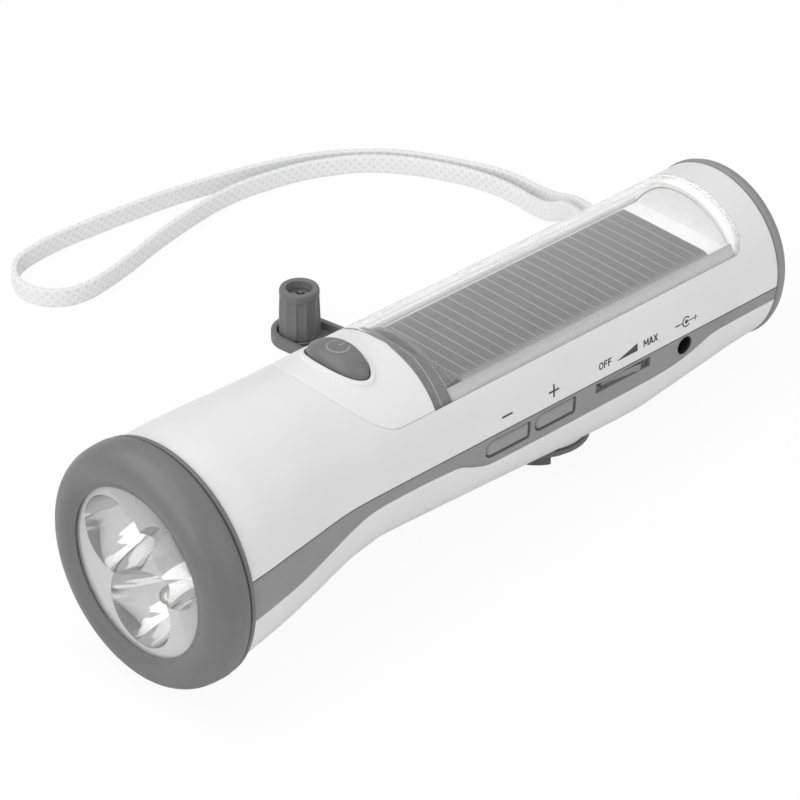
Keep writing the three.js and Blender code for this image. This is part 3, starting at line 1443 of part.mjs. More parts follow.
function hingePin() {
  const reach = Math.sqrt(BOSS_R ** 2 - HINGE_PIN_R ** 2) - SEAT_GAP;
  return rodY(0, HINGE_Z, HINGE_PIN_R, -reach, reach, SMALL_SIDES);
}

// The arm's plan outline from just outside the hub to the round knob end, drawn in by inset
function armOutline(inset) {
  const root = BOSS_R + 2 * RUN_GAP + inset;
  const half = ARM_ROOT_HALF - inset;
  const r = ARM_END_R - inset;
  const lean = Math.asin((ARM_ROOT_HALF - ARM_END_R) / ARM_LENGTH);
  const shape = new THREE.Shape();
  shape.moveTo(root, half);
  shape.lineTo(root, -half);
  shape.absarc(ARM_LENGTH, 0, r, lean - Math.PI / 2, Math.PI / 2 - lean, false);
  return shape;
}

function crankArm() {
  const half = ARM_THICK / 2;
  const floor = ARM_FLOOR - half;
  const tongueHalf = HINGE_SLOT_HALF - RUN_GAP;
  const root = BOSS_R + 2 * RUN_GAP;
  const tongue = box(0, root + ARM_RIM, -tongueHalf, tongueHalf, -half, half);
  const eye = rodY(0, 0, half, -tongueHalf, tongueHalf);
  const pinHole = rodY(0, 0, HINGE_PIN_R + RUN_GAP, -FLANGE_R, FLANGE_R, SMALL_SIDES);
  const trough = plate(armOutline(ARM_RIM), floor, half + OVERRUN);
  const knobPost = post(ARM_LENGTH, 0, KNOB_POST_R, -half, KNOB_Z + KNOB_WELL);
  const screwHole = post(
    ARM_LENGTH,
    0,
    SCREW_HOLE_R,
    KNOB_Z + KNOB_WELL - KNOB_SCREW_LENGTH - SEAT_GAP,
    KNOB_Z + KNOB_WELL + OVERRUN,
    SMALL_SIDES,
  );
  return plate(armOutline(0), -half, half)
    .subtract(trough)
    .add(joined(tongue, eye, knobPost))
    .subtract(joined(pinHole, screwHole));
}

// Knob parts, in a frame whose Z is the knob's axis and whose z = 0 is the arm's middle

function knobWasher() {
  const base = ARM_FLOOR - ARM_THICK / 2 + SEAT_GAP;
  const disc = post(0, 0, WASHER_R, base, base + WASHER_THICK);
  return disc.subtract(post(0, 0, KNOB_POST_R + RUN_GAP, base - OVERRUN, base + OVERRUN));
}

function knobRing(z, r, flute) {
  const count = 3 * KNOB_FLUTES;
  return Array.from({ length: count }, (_, i) => {
    const turn = (FULL_TURN * i) / count;
    const hollow = (flute * (1 - Math.cos(KNOB_FLUTES * turn))) / 2;
    const reach = r - hollow;
    return new THREE.Vector3(reach * Math.cos(turn), reach * Math.sin(turn), z);
  });
}

function crankKnob() {
  const top = KNOB_Z + KNOB_HEIGHT;
  const fluteTop = top - KNOB_PLAIN_TOP;
  const grip = skinned([
    knobRing(KNOB_Z, KNOB_BASE_R, KNOB_FLUTE_DEPTH),
    knobRing(fluteTop, KNOB_TOP_R, KNOB_FLUTE_DEPTH),
    knobRing(fluteTop + KNOB_EDGE / 2, KNOB_TOP_R, 0),
    knobRing(top - KNOB_EDGE, KNOB_TOP_R, 0),
    knobRing(top - KNOB_EDGE / 4, KNOB_TOP_R - KNOB_EDGE / 3, 0),
    knobRing(top, KNOB_TOP_R - KNOB_EDGE, 0),
  ]);
  const bore = post(0, 0, KNOB_POST_R + RUN_GAP, KNOB_Z - OVERRUN, top);
  const well = post(0, 0, KNOB_WELL_R, KNOB_Z + KNOB_WELL - RUN_GAP, top + OVERRUN);
  return grip.subtract(joined(bore, well));
}

function knobScrew() {
  const seat = KNOB_Z + KNOB_WELL + SEAT_GAP;
  const head = post(0, 0, KNOB_WELL_R - RUN_GAP, seat, seat + KNOB_SCREW_HEAD);
  return head.add(post(0, 0, SCREW_R, seat - KNOB_SCREW_LENGTH, seat + SCREW_R / 2, SMALL_SIDES));
}

// Gear train

// A spur gear's outline: straight-sided teeth, thinned for backlash, the first tooth turned by phase
function gearOutline(teeth, phase) {
  const pitchR = TOOTH_PITCH_R * teeth;
  const tip = pitchR + TOOTH_TIP_HEIGHT_SHARE * TOOTH_PITCH_R;
  const root = pitchR - TOOTH_ROOT_DEPTH_SHARE * TOOTH_PITCH_R;
  const corners = [
    [root, -TOOTH_ROOT_SHARE],
    [tip, -TOOTH_TIP_SHARE],
    [tip, TOOTH_TIP_SHARE],
    [root, TOOTH_ROOT_SHARE],
  ];
  const points = Array.from({ length: teeth }, (_, i) =>
    corners.map(([r, share]) => {
      const turn = phase + (FULL_TURN * (i + share)) / teeth;
      return new THREE.Vector2(r * Math.cos(turn), r * Math.sin(turn));
    }),
  );
  return new THREE.Shape(points.flat());
}

function crankGear() {
  const phase = Math.PI - ARM_TURN;
  const wheel = plate(gearOutline(CRANK_TEETH, phase), CRANK_GEAR_Z, CRANK_GEAR_TOP_Z);
  const hexHole = post(
    0,
    0,
    SHAFT_TIP_R + HEX_GAP,
    CRANK_GEAR_Z - OVERRUN,
    CRANK_GEAR_TOP_Z + OVERRUN,
    HEX_SIDES,
  );
  return wheel.subtract(hexHole);
}

// The pinion meets the crank gear on its rear side, and the large gear meets the rotor's pinion
function idlerGear() {
  const halfTooth = Math.PI / PINION_TEETH;
  const pinion = plate(gearOutline(PINION_TEETH, halfTooth), CRANK_GEAR_Z, IDLER_TOP_Z);
  const wheel = plate(gearOutline(IDLER_TEETH, Math.PI), IDLER_GEAR_Z, IDLER_TOP_Z);
  const bore = post(0, 0, AXLE_R + RUN_GAP, CRANK_GEAR_Z - OVERRUN, PLATE_Z, SMALL_SIDES);
  return pinion.add(wheel).subtract(bore);
}

function idlerAxle() {
  return post(IDLER_X, 0, AXLE_R, PAD_Z + WALL + 2 * SEAT_GAP, PLATE_TOP_Z, SMALL_SIDES);
}

function gearPlate() {
  const [front, rear] = [PLATE_FRONT_POST[0] - PLATE_MARGIN, PLATE_REAR_POST[0] + PLATE_MARGIN];
  const sheet = box(front, rear, -PLATE_HALF, PLATE_HALF, PLATE_Z, PLATE_TOP_Z);
  const holes = [
    [IDLER_X, AXLE_R + SEAT_GAP],
    [GENERATOR_X, GENERATOR_SHAFT_R + 2 * RUN_GAP],
  ].map(([x, r]) => post(x, 0, r, PLATE_Z - OVERRUN, PLATE_TOP_Z + OVERRUN, SMALL_SIDES));
  const notches = [-NECK_SCREW_Y, NECK_SCREW_Y].map((y) =>
    post(NECK_SCREW_X, y, NECK_POST_R + SEAT_GAP, PLATE_Z - OVERRUN, PLATE_TOP_Z + OVERRUN),
  );
  return sheet.subtract(joined(...holes, ...notches));
}

function generator() {
  const can = post(GENERATOR_X, 0, GENERATOR_R, GENERATOR_Z, UNDER_BOARD_Z - SEAT_GAP, FINE_SIDES);
  const bore = post(
    GENERATOR_X,
    0,
    GENERATOR_SHAFT_R + RUN_GAP,
    GENERATOR_Z - OVERRUN,
    GENERATOR_Z + GENERATOR_R / 2,
    SMALL_SIDES,
  );
  return can.subtract(bore);
}

function generatorPinion() {
  const halfTooth = Math.PI / PINION_TEETH;
  const wheel = plate(gearOutline(PINION_TEETH, halfTooth), IDLER_GEAR_Z, IDLER_TOP_Z);
  const shaftTop = GENERATOR_Z + GENERATOR_R / 2 - RUN_GAP;
  return wheel.add(post(0, 0, GENERATOR_SHAFT_R, IDLER_GEAR_Z, shaftTop, SMALL_SIDES));
}

// Wrist strap

// A path whose frames keep the braid's width upright all along it
class UprightPath extends THREE.CatmullRomCurve3 {
  computeFrenetFrames(segments) {
    const up = new THREE.Vector3(0, 0, 1);
    const frames = { tangents: [], normals: [], binormals: [] };
    for (let i = 0; i <= segments; i++) {
      const tangent = this.getTangentAt(i / segments);
      const normal = new THREE.Vector3().crossVectors(up, tangent).normalize();
      frames.tangents.push(tangent);
      frames.normals.push(normal);
      frames.binormals.push(new THREE.Vector3().crossVectors(tangent, normal));
    }
    return frames;
  }
}

function wristStrap(mouth, tableZ) {
  const restZ = tableZ + STRAP_REST;
  const points = STRAP_ROUTE_SHARES.map(
    ([x, y, raised]) =>
      new THREE.Vector3(mouth.x + x, mouth.y + y, THREE.MathUtils.lerp(restZ, mouth.z, raised)),
  );
  const path = new UprightPath(points, false, "centripetal");
  const shape = new THREE.Shape();
  const [across, up] = [STRAP_THICK / 2, STRAP_WIDTH / 2];
  const corner = across / 2;
  shape.moveTo(-across, -up + corner);
  shape.lineTo(-across + corner, -up);
  shape.lineTo(across - corner, -up);
  shape.lineTo(across, -up + corner);
  shape.lineTo(across, up - corner);
  shape.lineTo(across - corner, up);
  shape.lineTo(-across + corner, up);
  shape.lineTo(-across, up - corner);
  return solid(new THREE.ExtrudeGeometry(shape, { steps: STRAP_STEPS, extrudePath: path }));
}

function strapBar() {
  return post(
    STRAP_SLOT_X,
    STRAP_BAR_Y,
    STRAP_BAR_R,
    STRAP_BAR_Z,
    STRAP_BAR_Z + STRAP_BAR_LENGTH,
    SMALL_SIDES,
  );
}

// Materials

function plastic(color, roughness) {
  return new THREE.MeshStandardMaterial({ color, roughness, metalness: 0 });
}

function metal(color, roughness) {
  return new THREE.MeshStandardMaterial({ color, roughness, metalness: 1 });
}

const whiteShell = plastic(0xe9e9e9, 0.45);
const greyRubber = plastic(0x6f6f6f, 0.6);
const greyTrim = plastic(0x8c8c8c, 0.5);
const greyCrank = plastic(0x5e5e5e, 0.55);
const chrome = metal(0xe8e8e8, 0.12);
const steel = metal(0xb8b8b8, 0.35);
const brass = metal(0xc9a24a, 0.4);
const greenBoard = plastic(0x2f6b43, 0.6);
const blackPart = plastic(0x1e1e1e, 0.5);
const whiteGear = plastic(0xf0ede4, 0.5);
const cellFilm = plastic(0x7b7b7b, 0.35);
const braid = plastic(0xf4f4f4, 0.9);
const clear = new THREE.MeshStandardMaterial({
  color: 0xf2f4f4,
  roughness: 0.08,
  metalness: 0,
  transparent: true,
  opacity: 0.35,
});

function named(name, body, material) {
  const mesh = new THREE.Mesh(geometryOf(body), material);
  mesh.name = name;
  return mesh;
}

// Assembly

const whole = hollowBody();
const nearOpenings = controlOpenings();
const torch = new THREE.Group();
torch.add(
  named("head_bezel", headRing(), greyRubber),
  named("lens", lens(), clear),
  named("reflector", reflector(), chrome),
  named("led_board", ledBoard(), greenBoard),
  named("upper_shell", upperShell(whole), whiteShell),
  named("lower_shell", lowerShell(whole), whiteShell),
  named("side_trim_near", sideTrim(NEAR_TRIM_SHARES, -RING_R, 0, nearOpenings), greyTrim),
  named("side_trim_far", sideTrim(FAR_TRIM_SHARES, 0, RING_R, strapOpening()), greyTrim),
  named("front_panel", frontPanel(), whiteShell),
  named("solar_window", solarWindow(), clear),
  named("solar_cell", solarCell(), cellFilm),
  named("cell_tray", cellTray(), whiteShell),
  named("power_button", powerButton(), greyTrim),
  named("scan_minus_key", scanKey(MINUS_X, MINUS_Z, MINUS_LENGTH), greyTrim),
  named("scan_plus_key", scanKey(PLUS_X, PLUS_Z, PLUS_LENGTH), greyTrim),
  named("volume_slider", volumeSlider(), greyTrim),
  named("volume_pot", volumePot(), blackPart),
  named("dc_jack", dcJack(), blackPart),
  named("main_board", mainBoard(), greenBoard),
  named("power_switch", powerSwitch(), blackPart),
  named(
    "scan_minus_switch",
    sideSwitch(MINUS_X + MINUS_LENGTH / 2, MINUS_Z + KEY_HEIGHT / 2),
    blackPart,
  ),
  named(
    "scan_plus_switch",
    sideSwitch(PLUS_X + PLUS_LENGTH / 2, PLUS_Z + KEY_HEIGHT / 2),
    blackPart,
  ),
  named("battery_holder", batteryHolder(), blackPart),
  named("tail_cap", tailCap(), greyRubber),
  named("speaker", speaker(), blackPart),
  named("gear_plate", gearPlate(), steel),
  named("idler_axle", idlerAxle(), steel),
  named("generator", generator(), steel),
  named("strap_bar", strapBar(), steel),
);
CUP_ANGLES.forEach((angle, i) => torch.add(named(`led_${i + 1}`, led(angle), clear)));
BATTERY_PLACES.forEach((x, i) =>
  torch.add(named(`battery_cell_${i + 1}`, batteryCell(x), greenBoard)),
);
[-1, 1].forEach((side, i) => {
  torch.add(named(`neck_screw_${i + 1}`, neckScrew(side * NECK_SCREW_Y), steel));
  torch.add(named(`tail_screw_${i + 1}`, tailScrew(side * TAIL_SCREW_Y), steel));
});

// The gears turn about their own upright axes
function onAxis(x, mesh) {
  mesh.position.set(x, 0, 0);
  return mesh;
}
torch.add(
  onAxis(HUB_X, named("hub_bush", hubBush(), brass)),
  onAxis(IDLER_X, named("idler_gear", idlerGear(), whiteGear)),
  onAxis(GENERATOR_X, named("generator_pinion", generatorPinion(), brass)),
);

// The crank turns about the hub's axis, and its arm folds about the hinge pin
const crank = new THREE.Group();
crank.position.set(HUB_X, 0, 0);
crank.rotation.z = ARM_TURN;
crank.add(
  named("crank_hub", crankHub(), greyCrank),
  named("crank_gear", crankGear(), whiteGear),
  named("hub_screw", hubScrew(), steel),
  named("hinge_pin", hingePin(), steel),
);
const arm = new THREE.Group();
arm.position.z = HINGE_Z;
arm.rotation.y = ARM_DROOP;
arm.add(named("crank_arm", crankArm(), greyCrank));
const knob = new THREE.Group();
knob.position.x = ARM_LENGTH;
knob.add(
  named("knob_washer", knobWasher(), steel),
  named("crank_knob", crankKnob(), greyCrank),
  named("knob_screw", knobScrew(), steel),
);
arm.add(knob);
crank.add(arm);
torch.add(crank);

// The torch tips tail down until the table under it is level
torch.rotation.y = TILT;
torch.position.set(-CAP_END, 0, -GRIP_Z).applyEuler(torch.rotation);
const flashlight = new THREE.Group();
torch.updateMatrix();
const ringContact = new THREE.Vector3(RING_CONTACT_X, 0, -RING_R).applyMatrix4(torch.matrix);
const slotMouth = new THREE.Vector3(STRAP_SLOT_X, GRIP_R, STRAP_SLOT_Z + STRAP_SLOT_HEIGHT / 2);
slotMouth.applyMatrix4(torch.matrix);
flashlight.add(torch, named("wrist_strap", wristStrap(slotMouth, ringContact.z), braid));

export default flashlight;
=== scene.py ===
# %% [markdown]
# # Hand crank flashlight
# The flashlight lies on its head ring, its crank hub and its crank arm, and points towards the lower left.
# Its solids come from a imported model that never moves. Every surface that is seen is built again here as a
# smooth one, from the same sizes, and every piece gets a material made of nodes.

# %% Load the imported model
import math

import bmesh
import bpy
import numpy as np
from mathutils import Matrix, Vector


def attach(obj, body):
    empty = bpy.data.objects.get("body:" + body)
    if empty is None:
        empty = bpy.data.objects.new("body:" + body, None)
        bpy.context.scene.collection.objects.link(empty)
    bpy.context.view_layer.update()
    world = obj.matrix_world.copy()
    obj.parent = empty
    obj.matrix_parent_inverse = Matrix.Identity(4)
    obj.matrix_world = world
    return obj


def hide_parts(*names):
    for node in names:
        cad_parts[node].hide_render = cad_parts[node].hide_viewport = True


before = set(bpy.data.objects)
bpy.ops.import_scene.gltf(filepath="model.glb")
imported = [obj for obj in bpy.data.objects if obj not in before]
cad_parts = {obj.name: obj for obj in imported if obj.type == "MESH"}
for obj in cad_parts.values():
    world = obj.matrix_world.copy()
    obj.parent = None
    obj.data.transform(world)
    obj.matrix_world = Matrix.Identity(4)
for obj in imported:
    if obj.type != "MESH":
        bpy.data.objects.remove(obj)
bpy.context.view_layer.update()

# %% [markdown]
# The flashlight was drawn lying level, in millimetres, with x from the lens to the tail and z up through the
# button. It rests tipped by a few degrees, because the head ring is wider than the grip. All shapes below are
# worked out level, and one function tips them, so no object is ever turned. The tip angle follows from where
# the table touches the ring and the crank hub.

# %% Sizes of the body, and the way from the level drawing to the table
MM = 0.001
RING_LENGTH, RING_R = 11.3, 31.05
BODY_LENGTH, GRIP_R = 185.6, 22.7
GRIP_Z = 0.4097 * GRIP_R
SPLIT_Z = GRIP_Z - 2.3
BODY_FRONT, BODY_TAIL = RING_LENGTH + 0.3, RING_LENGTH + BODY_LENGTH
CAP_X, CAP_END = BODY_TAIL + 0.3, BODY_TAIL + 3.3
PAD_Z = GRIP_Z - 1.1674 * GRIP_R
HUB_X, HUB_R, HUB_BOTTOM_Z = RING_LENGTH + 0.6611 * BODY_LENGTH, 10.9, PAD_Z - 5.8
RING_CONTACT_X = 0.86 * RING_LENGTH
TILT = math.atan((RING_R + HUB_BOTTOM_Z) / (HUB_X + HUB_R - 0.5 - RING_CONTACT_X))


def placed(points):
    """Level millimetres to tipped metres: turned by TILT about y round the middle of the tail face."""
    p = np.asarray(points, dtype=float)
    x, z = p[..., 0] - CAP_END, p[..., 2] - GRIP_Z
    c, s = math.cos(TILT), math.sin(TILT)
    return np.stack([x * c + z * s, p[..., 1], z * c - x * s], axis=-1) * MM


def along_body(share):
    return RING_LENGTH + share * BODY_LENGTH


TABLE_Z = placed([RING_CONTACT_X, 0, -RING_R])[2]
print(f"tip angle {math.degrees(TILT):.2f} degrees, table at z = {TABLE_Z / MM:.2f} mm")

# %% [markdown]
# ## Camera
# The camera stands where the photographer stood: a long lens, far away, looking down by a third of a right
# angle. Its place was found by fitting the body's outlines, in units of the grip's radius as first measured.

# %% Camera
UNIT, AZIMUTH, ELEVATION, ROLL = 22.5, -44.49, 32.967, 1.098
FOCAL_PIXELS, PICTURE_PIXELS, SENSOR = 4462.06, 800, 36
DISTANCE, AIM_X, AIM_UP = 48.1609, 3.8314, 0.3941


def linked(name, data):
    """A new object in the scene, at the origin."""
    made = bpy.data.objects.new(name, data)
    bpy.context.scene.collection.objects.link(made)
    return made


azimuth, elevation, roll = (math.radians(v) for v in (AZIMUTH, ELEVATION, ROLL))
toward_eye = np.array([math.sin(azimuth), -math.cos(azimuth)]) * math.cos(elevation)
back = np.array([*toward_eye, math.sin(elevation)])
level_right = np.array([math.cos(azimuth), math.sin(azimuth), 0.0])
level_up = np.cross(back, level_right)
right = math.cos(roll) * level_right + math.sin(roll) * level_up
up = math.cos(roll) * level_up - math.sin(roll) * level_right
eye = placed((np.array([AIM_X, 0.0, 0.0]) + AIM_UP * up + DISTANCE * back) * UNIT)
axes = np.array([(placed(v) - placed(np.zeros(3))) / MM for v in (right, up, back)])

camera_data = bpy.data.cameras.new("photo_camera")
camera_data.sensor_width = SENSOR
camera_data.lens = SENSOR * FOCAL_PIXELS / PICTURE_PIXELS
camera_data.clip_start, camera_data.clip_end = 0.05, 20
camera = linked("photo_camera", camera_data)
camera.matrix_world = Matrix.Translation(eye) @ Matrix(axes.T.tolist()).to_4x4()
bpy.context.scene.camera = camera
print(f"camera {np.linalg.norm(eye) / MM:.0f} mm from the tail, lens {camera_data.lens:.1f} mm")

# %% [markdown]
# ## Helpers for surfaces
# A surface here is an array of points with two counts, rows and columns. Quads join neighbours, and a side
# that closes on itself wraps round. Several such grids are welded into one piece, so that no seam stays open.

# %% Grids to pieces
WELD, SHARP_EDGE = 2e-6, math.radians(35)


def grid_faces(rows, columns, wrap_rows=False, wrap_columns=False):
    """Quads between neighbours of a grid whose points are numbered row by row."""
    i = np.arange(rows if wrap_rows else rows - 1)[:, None]
    j = np.arange(columns if wrap_columns else columns - 1)[None, :]
    i2, j2 = (i + 1) % rows, (j + 1) % columns
    corners = [i * columns + j, i * columns + j2, i2 * columns + j2, i2 * columns + j]
    return np.stack(corners, axis=-1).reshape(-1, 4)


def tidied(mesh, weld=WELD, normals=True, slivers=False, sharp=True):
    """Welds points that meet, turns faces outward, and smooths all but the sharp edges."""
    work = bmesh.new()
    work.from_mesh(mesh)
    bmesh.ops.remove_doubles(work, verts=work.verts, dist=weld)
    if slivers:
        bmesh.ops.dissolve_degenerate(work, edges=work.edges, dist=WELD / 2)
    if normals:
        bmesh.ops.recalc_face_normals(work, faces=work.faces)
    work.to_mesh(mesh)
    work.free()
    mesh.polygons.foreach_set("use_smooth", np.ones(len(mesh.polygons), dtype=bool))
    if sharp:
        mesh.set_sharp_from_angle(angle=SHARP_EDGE)
    return mesh


def mesh_of(name, grids):
    """One mesh from level grids, each given as (points, wrap rows, wrap columns)."""
    points, faces, start = [], [], 0
    for grid, wrap_rows, wrap_columns in grids:
        grid = np.asarray(grid, dtype=float)
        rows, columns = grid.shape[:2]
        points.append(placed(grid).reshape(-1, 3))
        faces.append(grid_faces(rows, columns, wrap_rows, wrap_columns) + start)
        start += rows * columns
    mesh = bpy.data.meshes.new(name)
    mesh.from_pydata(np.concatenate(points).tolist(), [], np.concatenate(faces).tolist())
    return tidied(mesh)


def finished(name, mesh, material, slot, body="torch", *replaces):
    """The mesh as an object with its material, riding on a body of the model in place of its nodes."""
    mesh.materials.clear()
    mesh.materials.append(material)
    made = linked(name, mesh)
    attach(made, body)
    if replaces:
        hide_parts(*replaces)
    print(f"{name}: {len(mesh.vertices)} points, {len(mesh.polygons)} faces")
    return made


def piece(name, grids, material, slot, body="torch", *replaces):
    return finished(name, mesh_of(name, grids), material, slot, body, *replaces)


def full_turn(sides):
    return np.linspace(0, 2 * np.pi, sides, endpoint=False)


def turned(profile, sides=96, centre=(0.0, 0.0)):
    """A grid from a profile of (x, radius) spun about a line along x through centre (y, z)."""
    profile, turn = np.asarray(profile, dtype=float), full_turn(sides)
    y, z = centre[0] + profile[:, 1:] * np.cos(turn), centre[1] + profile[:, 1:] * np.sin(turn)
    return np.stack([np.repeat(profile[:, :1], sides, axis=1), y, z], axis=-1)


def upright(profile, sides=96, centre=(0.0, 0.0)):
    """A grid from a profile of (radius, z) spun about a vertical line through centre (x, y)."""
    profile, turn = np.asarray(profile, dtype=float), full_turn(sides)
    x, y = centre[0] + profile[:, :1] * np.cos(turn), centre[1] + profile[:, :1] * np.sin(turn)
    return np.stack([x, y, np.repeat(profile[:, 1:], sides, axis=1)], axis=-1)


def rounded(profile, radius, steps=4, closed=False):
    """A profile whose corners are replaced by arcs: each corner becomes a short quadratic curve."""
    p = np.asarray(profile, dtype=float)
    t = np.linspace(0, 1, steps + 1)[:, None]
    out = []
    for k in range(len(p)):
        if not closed and k in (0, len(p) - 1):
            out.append(p[k : k + 1])
            continue
        before, after = p[k - 1] - p[k], p[(k + 1) % len(p)] - p[k]
        a, b = np.linalg.norm(before), np.linalg.norm(after)
        r = min(radius, 0.45 * a, 0.45 * b)
        start, end = p[k] + before / a * r, p[k] + after / b * r
        out.append((1 - t) ** 2 * start + 2 * t * (1 - t) * p[k] + t**2 * end)
    return np.concatenate(out)


print("helpers ready")

# %% [markdown]
# ## Moulded plastic and rubber
# Moulded parts are never one flat colour. Light and dark clouds of a few centimetres come from the pigment,
# the mould's spark-eroded skin gives a grain of a fraction of a millimetre, and hands polish that grain
# unevenly. All three are noises in level millimetres, so they keep their scale and stay on the piece.

# %% Node helpers and the moulded finish
def wire(node, values):
    """Sets sockets, by name or number, to a value, or links them to another node's socket."""
    for key, value in values.items():
        if isinstance(value, bpy.types.NodeSocket):
            node.id_data.links.new(value, node.inputs[key])
        else:
            node.inputs[key].default_value = value


def add_node(tree, kind, values=(), **settings):
    """A new node of a kind, with its settings and sockets set."""
    made = tree.nodes.new(kind)
    for key, value in settings.items():
        setattr(made, key, value)
    wire(made, dict(values))
    return made


def new_material(name):
    """A material with its node tree, its main shader and its place in level millimetres: object
    coordinates turned back by the tip angle."""
    material = bpy.data.materials.new(name)
    material.use_nodes = True
    tree = material.node_tree
    shader = next(n for n in tree.nodes if n.type == "BSDF_PRINCIPLED")
    values = {
        "Vector": add_node(tree, "ShaderNodeTexCoord").outputs["Object"],
        "Location": (CAP_END, 0, GRIP_Z),
        "Rotation": (0, -TILT, 0),
        "Scale": (1 / MM, 1 / MM, 1 / MM),
    }
    mapping = add_node(tree, "ShaderNodeMapping", values, vector_type="POINT")
    return material, tree, shader, mapping.outputs["Vector"]


def noise(tree, place, size, detail=2.0, roughness=0.5):
    """Noise whose blobs are about size millimetres across."""
    values = {"Vector": place, "Scale": 1 / size, "Detail": detail, "Roughness": roughness}
    return add_node(tree, "ShaderNodeTexNoise", values).outputs["Fac"]


def ranged(tree, value, low, high, start=0.3, end=0.7):
    """From start to end the value goes from low to high, and stays there beyond."""
    values = {"Value": value, "From Min": start, "From Max": end, "To Min": low, "To Max": high}
    return add_node(tree, "ShaderNodeMapRange", values, clamp=True).outputs["Result"]


def blended(tree, factor, first, second):
    """A colour between two others: each is a triple of numbers or another node's socket."""
    first, second = (v if isinstance(v, bpy.types.NodeSocket) else (*v, 1) for v in (first, second))
    values = {0: factor, 6: first, 7: second}
    return add_node(tree, "ShaderNodeMix", values, data_type="RGBA", clamp_factor=True).outputs[2]


def bumped(tree, height, depth_mm, before=None):
    values = {"Height": height, "Strength": 1.0, "Distance": depth_mm * MM}
    values.update({"Normal": before} if before else {})
    return add_node(tree, "ShaderNodeBump", values).outputs["Normal"]


def along_axis(tree, place, axis):
    return add_node(tree, "ShaderNodeSeparateXYZ", {"Vector": place}).outputs[axis]


def worked(tree, operation, first, second):
    return add_node(tree, "ShaderNodeMath", {0: first, 1: second}, operation=operation).outputs[0]


def mixed(tree, factor, first, second):
    """A node that mixes two shader nodes."""
    values = {0: factor, 1: first.outputs[0], 2: second.outputs[0]}
    return add_node(tree, "ShaderNodeMixShader", values)


def shown(tree, node):
    """Makes the node what the material or world shows."""
    output = next(n for n in tree.nodes if n.type in ("OUTPUT_MATERIAL", "OUTPUT_WORLD"))
    wire(output, {"Surface": node.outputs[0]})


def grey(level):
    return (level, level, level)


def moulded(name, light, dark, gloss, grain=0.45, depth=0.006, cloud=26.0, gleam=0.5):
    """Clouds between two colours, a fine grain in the bump, and gloss = (lowest, highest) roughness."""
    material, tree, shader, place = new_material(name)
    tone = blended(tree, ranged(tree, noise(tree, place, cloud, 3), 0, 1), light, dark)
    specks = ranged(tree, noise(tree, place, grain * 1.6, 2), 0, 1)
    fine = bumped(tree, noise(tree, place, grain, 3, 0.6), depth)
    wire(shader, {
        "Base Color": blended(tree, 0.12, tone, blended(tree, specks, dark, light)),
        "Roughness": ranged(tree, noise(tree, place, cloud / 3, 4), *gloss, 0.35, 0.65),
        "Normal": bumped(tree, noise(tree, place, cloud * 0.7, 2), depth * 6, fine),
        "Specular IOR Level": gleam,
    })
    return material


def grey_finish(name, light, dark, *rest):
    return moulded(name, grey(light), grey(dark), *rest)


white_shell = grey_finish("white_shell", 0.80, 0.765, (0.34, 0.46), 0.4, 0.003)
white_panel = grey_finish("white_panel", 0.84, 0.81, (0.30, 0.42), 0.4, 0.0025)
white_inner = grey_finish("white_inner", 0.80, 0.74, (0.45, 0.6), 0.6, 0.006)
ring_rubber = grey_finish("ring_rubber", 0.162, 0.145, (0.36, 0.46), 0.28, 0.005, 18, 0.55)
side_grey = grey_finish("side_grey", 0.285, 0.265, (0.42, 0.55), 0.3, 0.005, 20, 0.4)
key_grey = grey_finish("key_grey", 0.31, 0.285, (0.38, 0.5), 0.3, 0.004, 12, 0.45)
button_grey = grey_finish("button_grey", 0.175, 0.16, (0.32, 0.42), 0.3, 0.004, 12, 0.4)
sign_grey = grey_finish("sign_grey", 0.34, 0.31, (0.4, 0.5), 0.3, 0.002, 3, 0.4)
crank_grey = grey_finish("crank_grey", 0.175, 0.155, (0.42, 0.55), 0.32, 0.007, 15, 0.4)
black_part = grey_finish("black_part", 0.016, 0.010, (0.5, 0.65), 0.4, 0.006, 8, 0.2)
ink = grey_finish("ink", 0.075, 0.06, (0.5, 0.6), 0.2, 0.002, 3, 0.3)
satin_coat = grey_finish("satin_coat", 0.60, 0.56, (0.3, 0.4), 0.4, 0.004, 6)
print("moulded finishes:", len(bpy.data.materials))

# %% [markdown]
# ## Clear plastic
# The lens and the window are clear, hard plastic. A renderer's glass throws a black shadow, while the real
# one lets light through to what is under it, so a shadow ray meets a plain transparent surface instead.

# %% Clear plastics
def clear_plastic(name, tone, roughness, haze, bending=1.49):
    """Glass for rays that look, transparent for rays that cast shadow, and a little white haze in it."""
    material, tree, shader, place = new_material(name)
    wire(shader, {
        "Base Color": (*tone, 1),
        "Transmission Weight": 1.0,
        "IOR": bending,
        "Roughness": ranged(tree, noise(tree, place, 9, 4), roughness, roughness * 2 + 0.01),
        "Normal": bumped(tree, noise(tree, place, 14, 2), 0.01),
    })
    dust = ranged(tree, noise(tree, place, 1.2, 5), haze * 0.7, haze * 1.4)
    milk = add_node(tree, "ShaderNodeBsdfDiffuse", {"Color": (0.9, 0.9, 0.9, 1)})
    through = add_node(tree, "ShaderNodeBsdfTransparent", {"Color": (*tone, 1)})
    shadow = add_node(tree, "ShaderNodeLightPath").outputs["Is Shadow Ray"]
    shown(tree, mixed(tree, shadow, mixed(tree, dust, shader, milk), through))
    return material


clear_lens = clear_plastic("clear_lens", grey(0.97), 0.01, 0.02)
clear_window = clear_plastic("clear_window", grey(0.97), 0.02, 0.06, 1.18)
clear_lamp = clear_plastic("clear_lamp", (0.97, 0.97, 0.93), 0.02, 0.02)
print("clear finishes:", [m.name for m in (clear_lens, clear_window, clear_lamp)])

# %% [markdown]
# ## Metal
# The reflector's cups have a vacuum-coated mirror skin, which ripples a little. Screws and pins are turned
# steel with rings left by the tool.

